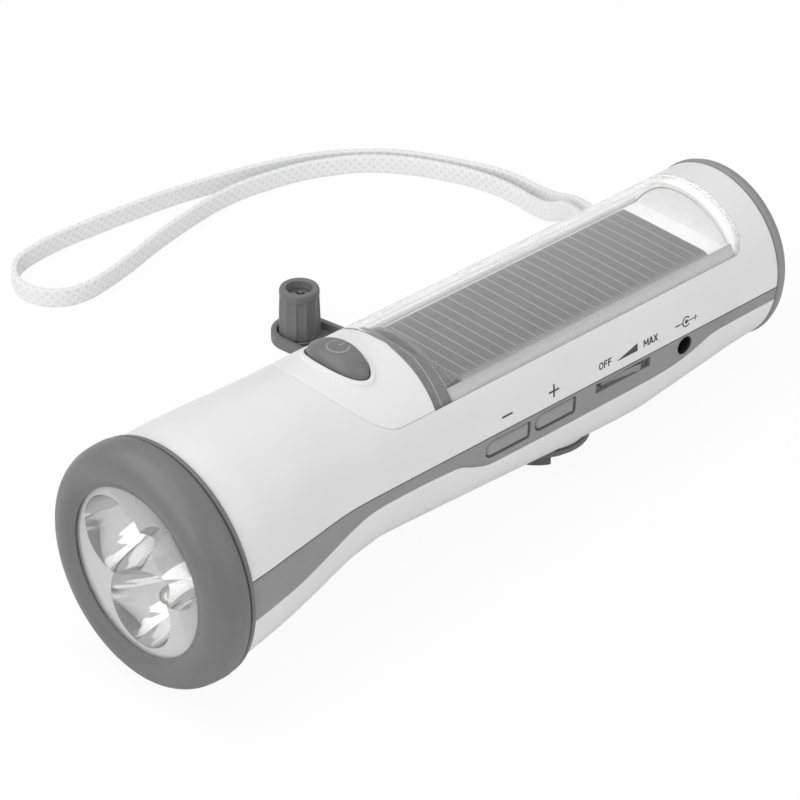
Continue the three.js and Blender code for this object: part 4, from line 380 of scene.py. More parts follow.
# %% Metals
def metal(name, colour, gloss, grain, depth, streak=1.0):
    """Metal with a noise stretched along x by streak in the bump, and roughness between gloss's two."""
    material, tree, shader, place = new_material(name)
    stretched = add_node(tree, "ShaderNodeMapping", {"Vector": place, "Scale": (1 / streak, 1, 1)})
    scratches = noise(tree, stretched.outputs["Vector"], grain, 3)
    worn = [v * 0.9 for v in colour]
    wire(shader, {
        "Metallic": 1.0,
        "Base Color": blended(tree, ranged(tree, noise(tree, place, 5, 3), 0, 1), colour, worn),
        "Roughness": ranged(tree, scratches, *gloss),
        "Normal": bumped(tree, scratches, depth),
    })
    return material


mirror_coat = metal("mirror_coat", grey(0.64), (0.04, 0.08), 6.0, 0.008)
steel = metal("steel", grey(0.58), (0.25, 0.4), 0.25, 0.004, 4)
brass = metal("brass", (0.72, 0.52, 0.22), (0.25, 0.4), 0.3, 0.004, 3)
print("metals:", [m.name for m in (mirror_coat, steel, brass)])

# %% [markdown]
# ## Wrist strap
# The strap is a flat braid: threads run along both diagonals and dive under each other, which leaves rows of
# small V shapes. It could be a plain ribbon with a picture of a weave, but then its edge would stay smooth
# against the light. Here a closed section is swept along the strap's route, and the threads really rise.

# %% Strap route
STRAP_WIDTH, STRAP_THICK, STRAP_STEP = 5.4, 2.0, 0.32
STRAP_ROUTE = [
    [1.4, -3.1, 1.004], [1.4, 3.3, 0.998], [3, 10.8, 0.963], [6.6, 19.3, 0.853], [11.9, 29.1, 0.632],
    [16.9, 38.3, 0.361], [20.6, 46.8, 0.13], [22.6, 55.8, 0.01], [22.6, 63.2, 0], [21.4, 69.9, 0],
    [18.8, 77, 0], [15.8, 83.8, 0], [12, 91.5, 0], [7, 98.9, 0], [1.6, 104.5, 0], [-4.6, 109.5, 0],
    [-12.4, 114.3, 0], [-21.6, 118.5, 0], [-33.6, 122.7, 0], [-44.9, 126.1, 0], [-57.3, 128.7, 0],
    [-69.7, 130.7, 0], [-81.8, 132.3, 0], [-93, 132.3, 0], [-98.9, 130.7, 0], [-103.3, 126.3, 0],
    [-104.9, 120.4, 0], [-103.3, 114.5, 0], [-98.9, 110.1, 0], [-93, 108.5, 0], [-85.8, 108.9, 0],
    [-76.7, 110.4, 0], [-65.4, 112.9, 0], [-52.6, 114.9, 0], [-40.5, 115.9, 0], [-31.3, 115.3, 0],
    [-22, 113.1, 0], [-13.8, 110.3, 0], [-6.6, 106.5, 0], [0, 101.7, 0], [4.8, 96.5, 0], [9.6, 89.3, 0],
    [13.2, 81.7, 0], [16, 74.3, 0], [17.6, 66.7, 0], [18.1, 60.3, 0], [17.6, 53.8, 0.01],
    [16, 47.1, 0.09], [13.2, 40.3, 0.281], [9.4, 32.9, 0.552], [5.4, 25.7, 0.753], [1.8, 18.3, 0.883],
    [-0.6, 10.8, 0.973], [-1.4, 3.3, 0.998], [-1.4, -3.1, 1.004],
]


def hermite(t, start, start_slope, end, end_slope):
    """The cubic that goes from start to end as t goes from 0 to 1, with the given slopes at both."""
    leaving = (2 * t**3 - 3 * t**2 + 1) * start + (t**3 - 2 * t**2 + t) * start_slope
    return leaving + (3 * t**2 - 2 * t**3) * end + (t**3 - t**2) * end_slope


def even_curve(points, step):
    """A smooth curve through points, its parameter the root of the chord, then resampled every step."""
    p = np.asarray(points, dtype=float)
    p = np.concatenate([2 * p[:1] - p[1:2], p, 2 * p[-1:] - p[-2:-1]])
    chord = np.diff(p, axis=0)
    d = np.sqrt(np.linalg.norm(chord, axis=1))[:, None]
    a, b, c = d[:-2], d[1:-1], d[2:]
    start = b * (chord[:-2] / a - (p[2:-1] - p[:-3]) / (a + b) + chord[1:-1] / b)
    end = b * (chord[1:-1] / b - (p[3:] - p[1:-2]) / (b + c) + chord[2:] / c)
    t = np.linspace(0, 1, 40, endpoint=False)[None, :, None]
    dense = hermite(t, p[1:-2, None], start[:, None], p[2:-1, None], end[:, None]).reshape(-1, p.shape[1])
    dense = np.concatenate([dense, p[-2:-1]])
    along = np.concatenate([[0], np.cumsum(np.linalg.norm(np.diff(dense, axis=0), axis=1))])
    places = np.linspace(0, along[-1], int(along[-1] / step) + 1)
    return np.stack([np.interp(places, along, column) for column in dense.T], axis=-1), places


mouth = placed([BODY_TAIL - 6.9, GRIP_R, SPLIT_Z - 4.5]) / MM
rest_z = TABLE_Z / MM + (STRAP_WIDTH + 0.3) / 2
route = np.array(STRAP_ROUTE, dtype=float)
route[:, 2] = rest_z + (mouth[2] - rest_z) * route[:, 2]
route[:, :2] += mouth[:2]
strap_line, strap_along = even_curve(route, STRAP_STEP)
print(f"strap {strap_along[-1]:.1f} mm long, from {strap_line[0].round(1)} to {strap_line[-1].round(1)}")

# %% [markdown]
# The braid's threads are worked out flat, in millimetres along and across the strap, and the same numbers go
# into the mesh as a UV map. The material paints shade into the gap beside each thread's crown, so the height
# is also kept as an attribute that the material reads.

# %% Strap mesh
THREAD_PITCH, THREAD_RISE, STRAP_SIDES = 1.3, 0.09, 56


def braid_height(along, across):
    """Two diagonal families of threads: where one is on top its round crown shows, else the other's."""
    a, b = np.pi * (along + across) / THREAD_PITCH, np.pi * (along - across) / THREAD_PITCH
    first = np.abs(np.sin(a)) * np.clip(0.5 + 0.9 * np.sin(b), 0, 1)
    second = np.abs(np.sin(b)) * np.clip(0.5 - 0.9 * np.sin(a), 0, 1)
    return np.maximum(first, second)


def strap_mesh():
    """A stadium section of width by thickness, upright, swept along the route and raised by the braid."""
    turn = full_turn(STRAP_SIDES)
    c, s = np.cos(turn), np.sin(turn)
    stretch = 1 / (np.abs(c) ** 5 + np.abs(s) ** 5) ** 0.2
    side, rise = c * stretch * (STRAP_THICK / 2 - THREAD_RISE), s * stretch * (STRAP_WIDTH / 2 - THREAD_RISE)
    length = np.hypot(np.diff(side, append=side[:1]), np.diff(rise, append=rise[:1]))
    across = np.concatenate([[0], np.cumsum(length)[:-1]])
    tangent = np.gradient(strap_line, axis=0)
    tangent /= np.linalg.norm(tangent, axis=1, keepdims=True)
    out = np.cross([0, 0, 1.0], tangent)
    out /= np.linalg.norm(out, axis=1, keepdims=True)
    high = np.cross(tangent, out)
    crown = braid_height(strap_along[:, None], across[None, :])
    reach_out = side + THREAD_RISE * crown * c
    reach_up = rise + THREAD_RISE * crown * s
    grid = strap_line[:, None] + reach_out[..., None] * out[:, None] + reach_up[..., None] * high[:, None]
    ends = [strap_line[k, None, None].repeat(STRAP_SIDES, 1) for k in (0, -1)]
    grid = np.concatenate([ends[0], grid, ends[1]])
    return grid * MM, across, np.concatenate([crown[:1], crown, crown[-1:]])


strap_grid, strap_across, strap_crown = strap_mesh()
strap_faces = grid_faces(len(strap_grid), STRAP_SIDES, wrap_columns=True)
strap = bpy.data.meshes.new("wrist_strap_braid")
strap.from_pydata(strap_grid.reshape(-1, 3).tolist(), [], strap_faces.tolist())
corner = strap_faces.reshape(-1)
flat_u = np.concatenate([strap_along[:1], strap_along, strap_along[-1:]])[corner // STRAP_SIDES]
closing = np.repeat(strap_faces[:, 0] % STRAP_SIDES == STRAP_SIDES - 1, 4) & (corner % STRAP_SIDES == 0)
flat_v = strap_across[corner % STRAP_SIDES] + closing * (strap_across[-1] + 0.3)
strap_map = strap.uv_layers.new(name="flat")
strap_map.data.foreach_set("uv", (np.stack([flat_u, flat_v], axis=-1) * MM).ravel())
crown_values = strap.attributes.new("crown", "FLOAT", "POINT")
crown_values.data.foreach_set("value", strap_crown.ravel())


def braid_material():
    """Crowns white, gaps painted greyer as shade, fine fibres across each thread, soft sheen."""
    material, tree, shader, place = new_material("white_braid")
    height = add_node(tree, "ShaderNodeAttribute", attribute_name="crown").outputs["Fac"]
    spread = add_node(tree, "ShaderNodeUVMap", uv_map="flat").outputs["UV"]
    scaled = add_node(tree, "ShaderNodeMapping", {"Vector": spread, "Scale": (1 / MM, 1 / MM, 1 / MM)})
    slanted = {"Rotation": (0, 0, math.radians(45)), "Scale": (9, 1.2, 1), "Vector": scaled.outputs["Vector"]}
    fuzz = noise(tree, add_node(tree, "ShaderNodeMapping", slanted).outputs["Vector"], 1.0, 3, 0.6)
    soil = ranged(tree, noise(tree, place, 14, 4), 0, 0.35)
    # Painted shade: the lower a point of the braid lies, the greyer it is painted.
    tone = blended(tree, ranged(tree, height, 0, 1, 0.0, 0.75), grey(0.74), grey(0.90))
    tone = blended(tree, ranged(tree, fuzz, 0, 0.2), tone, grey(0.80))
    wire(shader, {
        "Base Color": blended(tree, soil, tone, grey(0.84)),
        "Roughness": ranged(tree, fuzz, 0.75, 0.95),
        "Normal": bumped(tree, fuzz, 0.05),
        "Sheen Weight": 0.25,
        "Specular IOR Level": 0.25,
    })
    return material


white_braid = braid_material()
tidied(strap, weld=WELD / 2, sharp=False)
wrist_strap = finished("wrist_strap_braid", strap, white_braid, "braid", "torch", "wrist_strap")

# %% [markdown]
# ## Shape of the body
# The body is one loft. Its section is a half ellipse on top and a squarer half below, and the sizes of both
# change from the round head to the grip. A table holds the section at a few places, and a smooth curve
# through them gives it anywhere, so every part of the skin, trims and window too, is cut from one function.

# %% Body sections
SECTION_SHARES = np.array([
    [0, 1.3, 0, 1.308, 1.3, 2.0], [0.036, 1.247, 0.062, 1.304, 1.33, 2.05],
    [0.076, 1.181, 0.128, 1.264, 1.361, 2.12], [0.117, 1.119, 0.207, 1.198, 1.383, 2.18],
    [0.167, 1.046, 0.295, 1.115, 1.366, 2.25], [0.199, 1.013, 0.348, 1.062, 1.3, 2.35],
    [0.23, 1.002, 0.385, 1.024, 1.218, 2.4], [0.259, 1, 0.401, 1.009, 1.163, 2.45],
    [0.287, 1, 0.4097, 1, 1.115, 2.5], [0.473, 1, 0.4097, 1, 1.106, 2.9],
    [0.606, 1, 0.4097, 1, 1.145, 3.0], [0.751, 1, 0.4097, 1, 1.176, 3.0],
    [0.813, 1, 0.4097, 1, 1.141, 2.8], [0.878, 1, 0.4097, 1, 1.093, 2.6],
    [0.942, 1, 0.4097, 1, 1.075, 2.3], [1, 1, 0.4097, 1, 1.079, 2.1],
])


def section(x):
    """Half width, centre height, rise, depth and lower exponent at x: a cubic between table rows."""
    place = np.clip((np.asarray(x, dtype=float) - RING_LENGTH) / BODY_LENGTH, 0, 1)
    knots, values = SECTION_SHARES[:, 0], SECTION_SHARES[:, 1:]
    row, last = np.arange(len(knots)), len(knots) - 1
    before, after = np.maximum(row - 1, 0), np.minimum(row + 1, last)
    slopes = (values[after] - values[before]) / (knots[after] - knots[before])[:, None]
    k = np.clip(np.searchsorted(knots, place, side="right") - 1, 0, last - 1)
    span = (knots[k + 1] - knots[k])[..., None]
    t = (place[..., None] - knots[k][..., None]) / span
    shares = hermite(t, values[k], span * slopes[k], values[k + 1], span * slopes[k + 1])
    return np.moveaxis(shares * [GRIP_R, GRIP_R, GRIP_R, GRIP_R, 1.0], -1, 0)


def skin(x, turn, inset=0.0):
    """The body's surface drawn in by inset. Turn is the direction from the section's middle: zero is the
    far side, a quarter turn the top, and the reach in that direction is a superellipse's."""
    x, turn, inset = np.broadcast_arrays(*(np.asarray(v, dtype=float) for v in (x, turn, inset)))
    half, centre, rise, depth, exponent = section(x)
    c, s = np.cos(turn), np.sin(turn)
    power = np.where(s >= 0, 2.0, exponent)
    reach = (np.abs(c) ** power + np.abs(s) ** power) ** (-1 / power)
    tall = np.where(s >= 0, rise, depth) - inset
    return np.stack([x, (half - inset) * c * reach, centre + tall * s * reach], axis=-1)


def height_share(x, z, inset):
    """How far z is up or down from the section's middle, and how far out the side is there, as shares."""
    _, centre, rise, depth, exponent = section(x)
    over = (z - centre) / (np.where(z >= centre, rise, depth) - inset)
    power = np.where(z >= centre, 2.0, exponent)
    return over, (1 - np.minimum(np.abs(over), 1) ** power) ** (1 / power)


def turn_at_height(x, z, inset=0.0):
    """The turn on the far side at which the surface has height z."""
    return np.arctan2(*height_share(x, z, inset))


def side_depth(x, z, inset=0.0):
    """How far out from the middle plane the side is at (x, z)."""
    return (section(x)[0] - inset) * height_share(x, z, inset)[1]


def top_height(x, y, inset=0.0):
    """Height of the upper half over (x, y)."""
    half, centre, rise, _, _ = section(x)
    return centre + (rise - inset) * np.sqrt(np.maximum(1 - (y / (half - inset)) ** 2, 0))


print("grip section half width, centre, rise, depth:", section(150.0)[:4].round(2))

# %% [markdown]
# ## Walls from two skins
# A moulded wall is what lies between an outer and an inner skin. Both are grids of the same counts, and four
# strips join their borders. A mould has no knife edges, so the outer skin's border is rolled over a little.
# Openings are cut with Boolean cutters, and the cut is applied, so that the piece is one plain mesh.

# %% Walls and cuts
ARC_MIDDLE = 1 - math.sqrt(0.5)


def eased(outer, inner, radius, axis):
    """Each border of outer along axis becomes three rows on an arc of that radius, down towards inner."""
    outer, inner = (np.moveaxis(np.asarray(v, dtype=float), axis, 0) for v in (outer, inner))

    def arc(border, neighbour, below):
        reaches = (neighbour - border, below - border)
        a, b = (radius * v / np.maximum(np.linalg.norm(v, axis=-1, keepdims=True), 1e-9) for v in reaches)
        return np.stack([border + b, border + ARC_MIDDLE * (a + b), border + a])

    head = arc(outer[0], outer[1], inner[0])
    tail = arc(outer[-1], outer[-2], inner[-1])[::-1]
    top = np.concatenate([head, outer[1:-1], tail])
    base = np.concatenate([inner[:1]] * 3 + [inner[1:-1]] + [inner[-1:]] * 3)
    return np.moveaxis(top, 0, axis), np.moveaxis(base, 0, axis)


def wall(outer, inner, roll, axes=(0, 1)):
    """Grids of a closed wall between two skins, the outer one's borders along the axes rolled over."""
    for axis in axes if roll else ():
        outer, inner = eased(outer, inner, roll, axis)
    borders = [np.stack([outer[k], inner[k]]) for k in (0, -1)]
    borders += [np.stack([outer[:, k], inner[:, k]]) for k in (0, -1)]
    return [(grid, False, False) for grid in (outer, inner, *borders)]


def thin(sheet, thickness):
    """A wall that lies under a sheet."""
    return wall(sheet, sheet - [0, 0, thickness], 0)


def capped(rings):
    """A closed solid from rings of points, its ends closed by fans to their middles."""
    rings = np.asarray(rings, dtype=float)
    ends = [ring.mean(axis=0, keepdims=True).repeat(len(ring), axis=0) for ring in rings[[0, -1]]]
    return [(np.concatenate([ends[:1], rings, ends[1:]]), False, True)]


def prism(outline, low, high, axis):
    """A closed prism: an outline in the two other axes, from low to high along axis."""
    return capped([np.insert(outline, axis, level, axis=1) for level in (low, high)])


def rectangle(x0, x1, y0, y1):
    return np.array([[x0, y0], [x1, y0], [x1, y1], [x0, y1]], dtype=float)


def rod_profile(low, high, radius):
    """Profile of a closed rod along x, for turned()."""
    return rectangle(0, radius, low, high)[:, ::-1]


def column(x, y, radius, low, high):
    """A closed upright cylinder."""
    return [(upright(rectangle(0, radius, low, high), 48, (x, y)), False, True)]


def arc_outline(centre, radius, start, end, count=32):
    turn = np.radians(np.linspace(start, end, count))
    return np.stack([centre[0] + radius * np.cos(turn), centre[1] + radius * np.sin(turn)], axis=-1)


def at_level(flat, z):
    return np.column_stack([flat, np.full(len(flat), z)])


def cutter(grids):
    """A loose object with the shape of the grids, to cut with."""
    return linked("cutter", mesh_of("cutter", grids))


def cut(target, cutters, added=(), hulls=()):
    """The target joined with what is added, kept inside the hulls and less every cutter, in that order.
    The result is kept as the target's own mesh, and the tools go."""
    kinds = (("UNION", added), ("INTERSECT", hulls), ("DIFFERENCE", cutters))
    tools = [(tool, kind) for kind, group in kinds for tool in group]
    for tool, kind in tools:
        change = target.modifiers.new("cut", "BOOLEAN")
        change.operation, change.solver, change.object = kind, "MANIFOLD", tool
    graph = bpy.context.evaluated_depsgraph_get()
    graph.update()
    mesh = bpy.data.meshes.new_from_object(target.evaluated_get(graph), depsgraph=graph)
    target.modifiers.clear()
    mesh.materials.clear()
    mesh.materials.append(target.data.materials[0])
    target.data = tidied(mesh, normals=False, slivers=True)
    for tool, _ in tools:
        bpy.data.meshes.remove(tool.data)
    print(f"{target.name} after {len(tools)} cuts: {len(mesh.polygons)} faces")


print("walls ready")

# %% [markdown]
# ## Upper shell
# The upper half is a wall 2.8 mm thick from seam to seam. A shallow seat is cut into its top for the white
# front panel and the long window, and right through under the window, where the solar cell's tray hangs.

# %% Inlay outline and upper shell
SEAM, WALL_THICK, INLAY_THICK = 0.15, 2.8, 1.6
INLAY_FRONT, INLAY_TAIL, INLAY_NOSE, INLAY_CORNER = along_body(0.21606), BODY_TAIL - 9.5, 16.3, 4.0
INLAY_HALF = GRIP_R * math.sin(math.radians(60))
WINDOW_X = along_body(0.36315) - 1.0
HOLE_TAIL = INLAY_TAIL - 3


def inlay_front(y, grow=0.0):
    """The nose is half an ellipse across the whole width."""
    over = np.minimum(np.abs(y) / (INLAY_HALF + grow), 1)
    return INLAY_FRONT + INLAY_NOSE - (INLAY_NOSE + grow) * np.sqrt(1 - over**2)


def inlay_tail(y, grow=0.0):
    """A straight edge with a quarter circle at each corner."""
    out = np.clip(np.abs(y) - (INLAY_HALF - INLAY_CORNER), 0, INLAY_CORNER + grow)
    return INLAY_TAIL - INLAY_CORNER + np.sqrt((INLAY_CORNER + grow) ** 2 - out**2)


def window_seam(y, shift=0.0, sweep=0.4):
    """The seam between front panel and window, almost square: a cosine sweeps its ends back a little."""
    return WINDOW_X + sweep * (1 - np.cos(np.pi * np.clip(y / INLAY_HALF, -1, 1))) + shift


def hole_edge(y, shift):
    """The hole under the window starts behind the seam, and leaves a ledge that widens to both sides."""
    return window_seam(y, shift + 1.0, 3.0)


def top_wall(front, tail, half, outer, inner, roll=0, rows=260, columns=150):
    """A wall between two x curves of y, over the body's top. Rows run across at even shares of the way
    from the front curve to the tail curve, and columns crowd at the two sides, where the outline turns."""
    y = (half - 1.4 * roll) * np.sin(np.linspace(-np.pi / 2, np.pi / 2, columns))
    y = np.concatenate([[-half], y, [half]])
    x = front(y) + (tail(y) - front(y)) * np.linspace(0, 1, rows)[:, None]
    y = np.broadcast_to(y, x.shape)
    return wall(*(np.stack([x, y, top_height(x, y, inset)], axis=-1) for inset in (outer, inner)), roll)


def between(start, end, count):
    return start + (end - start) * np.linspace(0, 1, count)


shell_x = np.linspace(BODY_FRONT, BODY_TAIL, 220)


def upper_skin(inset):
    """From the far seam over the top to the near one."""
    low = turn_at_height(shell_x, SPLIT_Z + SEAM, inset)[:, None]
    return skin(shell_x[:, None], between(low, np.pi - low, 130), inset)


upper_wall = wall(upper_skin(0.0), upper_skin(WALL_THICK), 0.22)
upper_shell = piece("upper_shell_skin", upper_wall, white_shell, "white_shell", "torch", "upper_shell")
seat_ends = [lambda y: inlay_front(y, SEAM), lambda y: inlay_tail(y, SEAM)]
hole_ends = [lambda y: hole_edge(y, 0.4), lambda y: y * 0 + HOLE_TAIL]
seat = cutter(top_wall(*seat_ends, INLAY_HALF + SEAM, -3.0, INLAY_THICK + SEAM))
window_hole = cutter(top_wall(*hole_ends, INLAY_HALF - 3, -2, 8))
cut(upper_shell, [seat, window_hole])

# %% [markdown]
# ## Lower shell
# The lower half carries the grey side trims in two shallow seats, so its skin steps in at each trim's lower
# edge. Under it lie the slot where the knob is stowed, a relief for the arm, a flat pad for the crank's hub,
# two screw holes, and the strap's slot on the far side.

# %% Trim edges and lower shell
TRIM_HEAD = [
    [-0.01, 0.471], [0.09, 0.471], [0.133, 0.423], [0.176, 0.335], [0.2085, 0.247], [0.241, 0.176],
    [0.284, 0.159],
]
TRIM_NEAR = [
    [0.349, 0.163], [0.397, 0.194], [0.421, 0.278], [0.449, 0.357], [0.483, 0.366], [0.64, 0.361],
    [0.79, 0.339], [0.817, 0.308], [0.844, 0.247], [0.871, 0.172], [0.909, 0.154], [1.01, 0.163],
]
TRIM_FAR = [[0.42, 0.157], [0.56, 0.157], [0.7, 0.157], [0.85, 0.16], [1.01, 0.163]]
TRIM_THICK, TRIM_SEAT = 1.3, 1.6
ARM_ANGLE, ARM_LENGTH = 96.9, 77.7
STOW_END = ARM_ANGLE + 90
STOW_HALF, RELIEF_HALF, STOW_MOUTH = 5.95, 8.2, 140
KNOB_ROOF_Z, RELIEF_Z, BELOW = -7.77, -20.27, -50
NECK_SCREWS = [(79.0, -13.5), (79.0, 13.5)]


def trim_turn(rows, shift, inset=0.0):
    """The turn at a trim's lower edge, shifted up: a smooth curve through the rows [share along, drop]."""
    rows = np.array(TRIM_HEAD + rows)
    edge = np.stack([along_body(rows[:, 0]), SPLIT_Z - rows[:, 1] * GRIP_R], axis=-1)
    curve, _ = even_curve(edge, 0.5)
    return turn_at_height(shell_x, np.interp(shell_x, *curve.T) + shift, inset)[:, None]


def lower_skins(inset):
    """The skin at inset in three grids: far seam to far trim's edge, the belly, and the near side."""
    seam = turn_at_height(shell_x, SPLIT_Z - SEAM, inset)[:, None]
    far, near = trim_turn(TRIM_FAR, -SEAM, inset), -np.pi - trim_turn(TRIM_NEAR, -SEAM, inset)
    turns = between(seam, far, 7), between(far, near, 150), between(near, -np.pi - seam, 7)
    return [skin(shell_x[:, None], turn, inset) for turn in turns]


def lower_wall():
    """Outer skin between the two trims' lower edges, a seat on each side, and the inner skin."""
    far_seat, _, near_seat = lower_skins(TRIM_SEAT)
    far_in, belly_in, near_in = lower_skins(WALL_THICK)
    belly_out, belly_in = eased(lower_skins(0.0)[1], belly_in, 0.22, 1)
    outer = np.concatenate([far_seat, belly_out, near_seat], axis=1)
    inner = np.concatenate([far_in, belly_in, near_in], axis=1)
    return wall(outer, inner, 0.2, (0,))


def stow_slot(half_width, mouth, low, high):
    """A slot bent round the hub, with a round end where the knob comes to rest. Its two long sides face
    each other, so the slot is a bent bar of four-sided rings."""
    hub = (HUB_X, 0.0)
    end = arc_outline(hub, ARM_LENGTH, STOW_END, STOW_END, 1)[0]
    outline = np.concatenate([
        arc_outline(hub, ARM_LENGTH + half_width, mouth, STOW_END),
        arc_outline(end, half_width, STOW_END, STOW_END + 180),
        arc_outline(hub, ARM_LENGTH - half_width, STOW_END, mouth),
    ])
    half = len(outline) // 2
    side, other = outline[:half], outline[::-1][:half]
    corners = ((side, low), (other, low), (other, high), (side, high))
    rings = np.stack([at_level(flat, z) for flat, z in corners], axis=1)
    ends = [np.stack([ring[:2], ring[:1:-1]]) for ring in (rings[0], rings[-1])]
    return [(rings, False, True)] + [(end, False, False) for end in ends]


lower_shell = piece("lower_shell_skin", lower_wall(), white_shell, "white_shell", "torch", "lower_shell")
hull_x = np.concatenate([[BODY_FRONT - 1], shell_x, [BODY_TAIL + 1]])
hull = cutter(capped(skin(hull_x[:, None], full_turn(180)[None], -0.01)))
added = [cutter(stow_slot(STOW_HALF + 1.8, STOW_MOUTH + 9, BELOW + 5, KNOB_ROOF_Z + 1.6))]
added += [cutter(column(x, y, 4.6, BELOW + 10, -8.3)) for x, y in NECK_SCREWS]
cutters = [cutter(stow_slot(STOW_HALF, STOW_MOUTH, BELOW, KNOB_ROOF_Z))]
cutters += [cutter(stow_slot(RELIEF_HALF, STOW_MOUTH, BELOW, RELIEF_Z))]
cutters += [cutter(column(x, y, 2.8, BELOW + 5, -10.1)) for x, y in NECK_SCREWS]
cut(lower_shell, cutters, added, [hull])

# %% [markdown]
# ## Side trims
# Each grey strip fills its seat and follows the body's curve. The near one has openings for two keys, for the
# volume slider and for the charging socket, and the far one for the strap.

# %% Side trims and their openings
KEYS = {"scan_minus": (along_body(0.44235), 1.1, 14.6), "scan_plus": (along_body(0.53233), 1.5, 13.6)}
KEY_HEIGHT, KEY_ROUND, KEY_SMALL_ROUND, KEY_GAP, KEY_RECESS = 4.4, 2.0, 0.5, 0.35, 0.05
SLOT_X, SLOT_LENGTH, SLOT_Z, SLOT_HEIGHT = along_body(0.64494), 19.3, 3.5, 2.8
JACK_X, JACK_Z, JACK_HOLE_R = along_body(0.81681), 4.0, 2.55


def trim_wall(rows, mirror):
    """The strip between the split and the trim's lower edge, on the far side or mirrored."""
    skins = []
    for inset in (0.0, TRIM_THICK):
        top = turn_at_height(shell_x, SPLIT_Z - SEAM, inset)[:, None]
        strip = skin(shell_x[:, None], between(top, trim_turn(rows, SEAM, inset), 14), inset)
        skins.append(strip * [1, mirror, 1])
    return wall(*skins, 0.18)


def key_outline(x, z, length, grow):
    """A key seen from the side: well rounded corners in front, small ones behind."""
    left, right, low, high = x - grow, x + length + grow, z - grow, z + KEY_HEIGHT + grow
    r, small = max(KEY_ROUND + grow, 0.3), max(KEY_SMALL_ROUND + grow, 0.12)
    return np.concatenate([
        arc_outline((left + r, high - r), r, 90, 180, 12),
        arc_outline((left + r, low + r), r, 180, 270, 12),
        arc_outline((right - small, low + small), small, 270, 360, 6),
        arc_outline((right - small, high - small), small, 0, 90, 6),
    ])


def opening_cutters():
    """Prisms along y, from outside to behind the wall."""
    outlines = [key_outline(*key, KEY_GAP) for key in KEYS.values()]
    slot = rectangle(SLOT_X, SLOT_X + SLOT_LENGTH, SLOT_Z, SLOT_Z + SLOT_HEIGHT)
    outlines.append(rounded(slot, 0.25, closed=True))
    outlines.append(arc_outline((JACK_X, JACK_Z), JACK_HOLE_R, 0, 354.375, 64))
    return [cutter(prism(outline, -30, -17.3, 1)) for outline in outlines]


def strap_cutter():
    slot = rectangle(BODY_TAIL - 10, BODY_TAIL - 3.8, -0.6, 5.6)
    return cutter(prism(rounded(slot, 0.5, closed=True), 14.5, 30, 1))


near_wall, far_wall = trim_wall(TRIM_NEAR, -1), trim_wall(TRIM_FAR, 1)
near_trim = piece("side_trim_near_strip", near_wall, side_grey, "grey_trim", "torch", "side_trim_near")
far_trim = piece("side_trim_far_strip", far_wall, side_grey, "grey_trim", "torch", "side_trim_far")
cut(near_trim, opening_cutters())
cut(far_trim, [strap_cutter()])
cut(lower_shell, opening_cutters() + [strap_cutter()])

# %% [markdown]
# ## Keys
# A scan key is a pillow: its edge falls away into a narrow dark gap, and its face follows the trim. It is
# built as rings of its outline that shrink towards the middle, each at its own depth.

# %% Scan keys
KEY_SKIRT = 4.1


def on_side(flat, lift, inset=0.0):
    """Flat (x, z) points on the near side, lift outside the skin at inset."""
    x, z = flat[..., 0], flat[..., 1]
    return np.stack([x, -(side_depth(x, z, inset) + lift), z], axis=-1)


def key_grids(x, z, length):
    """Rings of the outline: a deep skirt, a rolled edge, then the face down to one middle line."""
    steps = [(0.0, KEY_SKIRT), (0.0, 1.1), (-0.07, 0.7), (-0.22, 0.36), (-0.45, 0.14), (-0.75, 0.03)]
    rings = [on_side(key_outline(x, z, length, grow), -sink, KEY_RECESS) for grow, sink in steps]
    flat = key_outline(x, z, length, steps[-1][0])
    half = KEY_HEIGHT / 2
    line = np.stack([np.clip(flat[:, 0], x + half, x + length - half), flat[:, 1] * 0 + z + half], axis=-1)
    face = [on_side(flat + (line - flat) * t, 0, KEY_RECESS - 0.1 * t) for t in (0.25, 0.5, 0.75, 1.0)]
    back_line = on_side(line, -KEY_SKIRT, KEY_RECESS)
    return [(np.stack([back_line, *rings, *face]), False, True)]


for name, key in KEYS.items():
    piece(name + "_pillow", key_grids(*key), key_grey, "grey_trim", name, name + "_key")

# %% [markdown]
# ## Volume slider and socket
# The slider is a small ramp with four steps for the thumb. Behind it a plate closes the slot at every place
# of the slider, so that one never looks into the body.

# %% Slider
RAMP_LENGTH, RAMP_STEPS, RAMP_RISE, RAMP_FOOT_Y, RAMP_BACK_Y = 13.2, 4, 1.4, 1.4 - GRIP_R, -18.2
RAMP_X = SLOT_X + (SLOT_LENGTH - RAMP_LENGTH) / 2


def ramp_profile():
    """The ramp's outline in x and y: four crests, each higher than the one before."""
    step = np.arange(RAMP_STEPS)
    crest = (step + 0.8) / RAMP_STEPS
    tops = np.stack([RAMP_X + RAMP_LENGTH * crest, RAMP_FOOT_Y - RAMP_RISE * crest], axis=-1)
    dip_x = RAMP_X + RAMP_LENGTH * (step + 1) / RAMP_STEPS
    dips = np.stack([dip_x, RAMP_FOOT_Y - RAMP_RISE * 0.8 * crest], axis=-1)
    ridge = np.stack([tops, dips], axis=1).reshape(-1, 2)
    foot = [[RAMP_X, RAMP_BACK_Y], [RAMP_X, RAMP_FOOT_Y]]
    return np.concatenate([foot, ridge, [[RAMP_X + RAMP_LENGTH, RAMP_BACK_Y]]])


def slider_grids():
    low, high = SLOT_Z + 0.08, SLOT_Z + SLOT_HEIGHT - 0.75
    outline = rounded(ramp_profile(), 0.22, closed=True)
    middle = outline.mean(axis=0) + outline * 0
    levels = [(middle, low), (outline, low + 0.12), (outline, high - 0.12), (middle, high)]
    return [(np.stack([at_level(flat, z) for flat, z in levels]), False, True)]


def shutter_grids():
    """The plate that moves with the ramp and always covers the slot from behind."""
    plate = rectangle(RAMP_X - 3.6, RAMP_X + RAMP_LENGTH + 3.6, SLOT_Z - 0.8, SPLIT_Z - 0.2)
    return prism(rounded(plate, 0.3, closed=True), -19.0, -18.3, 1)


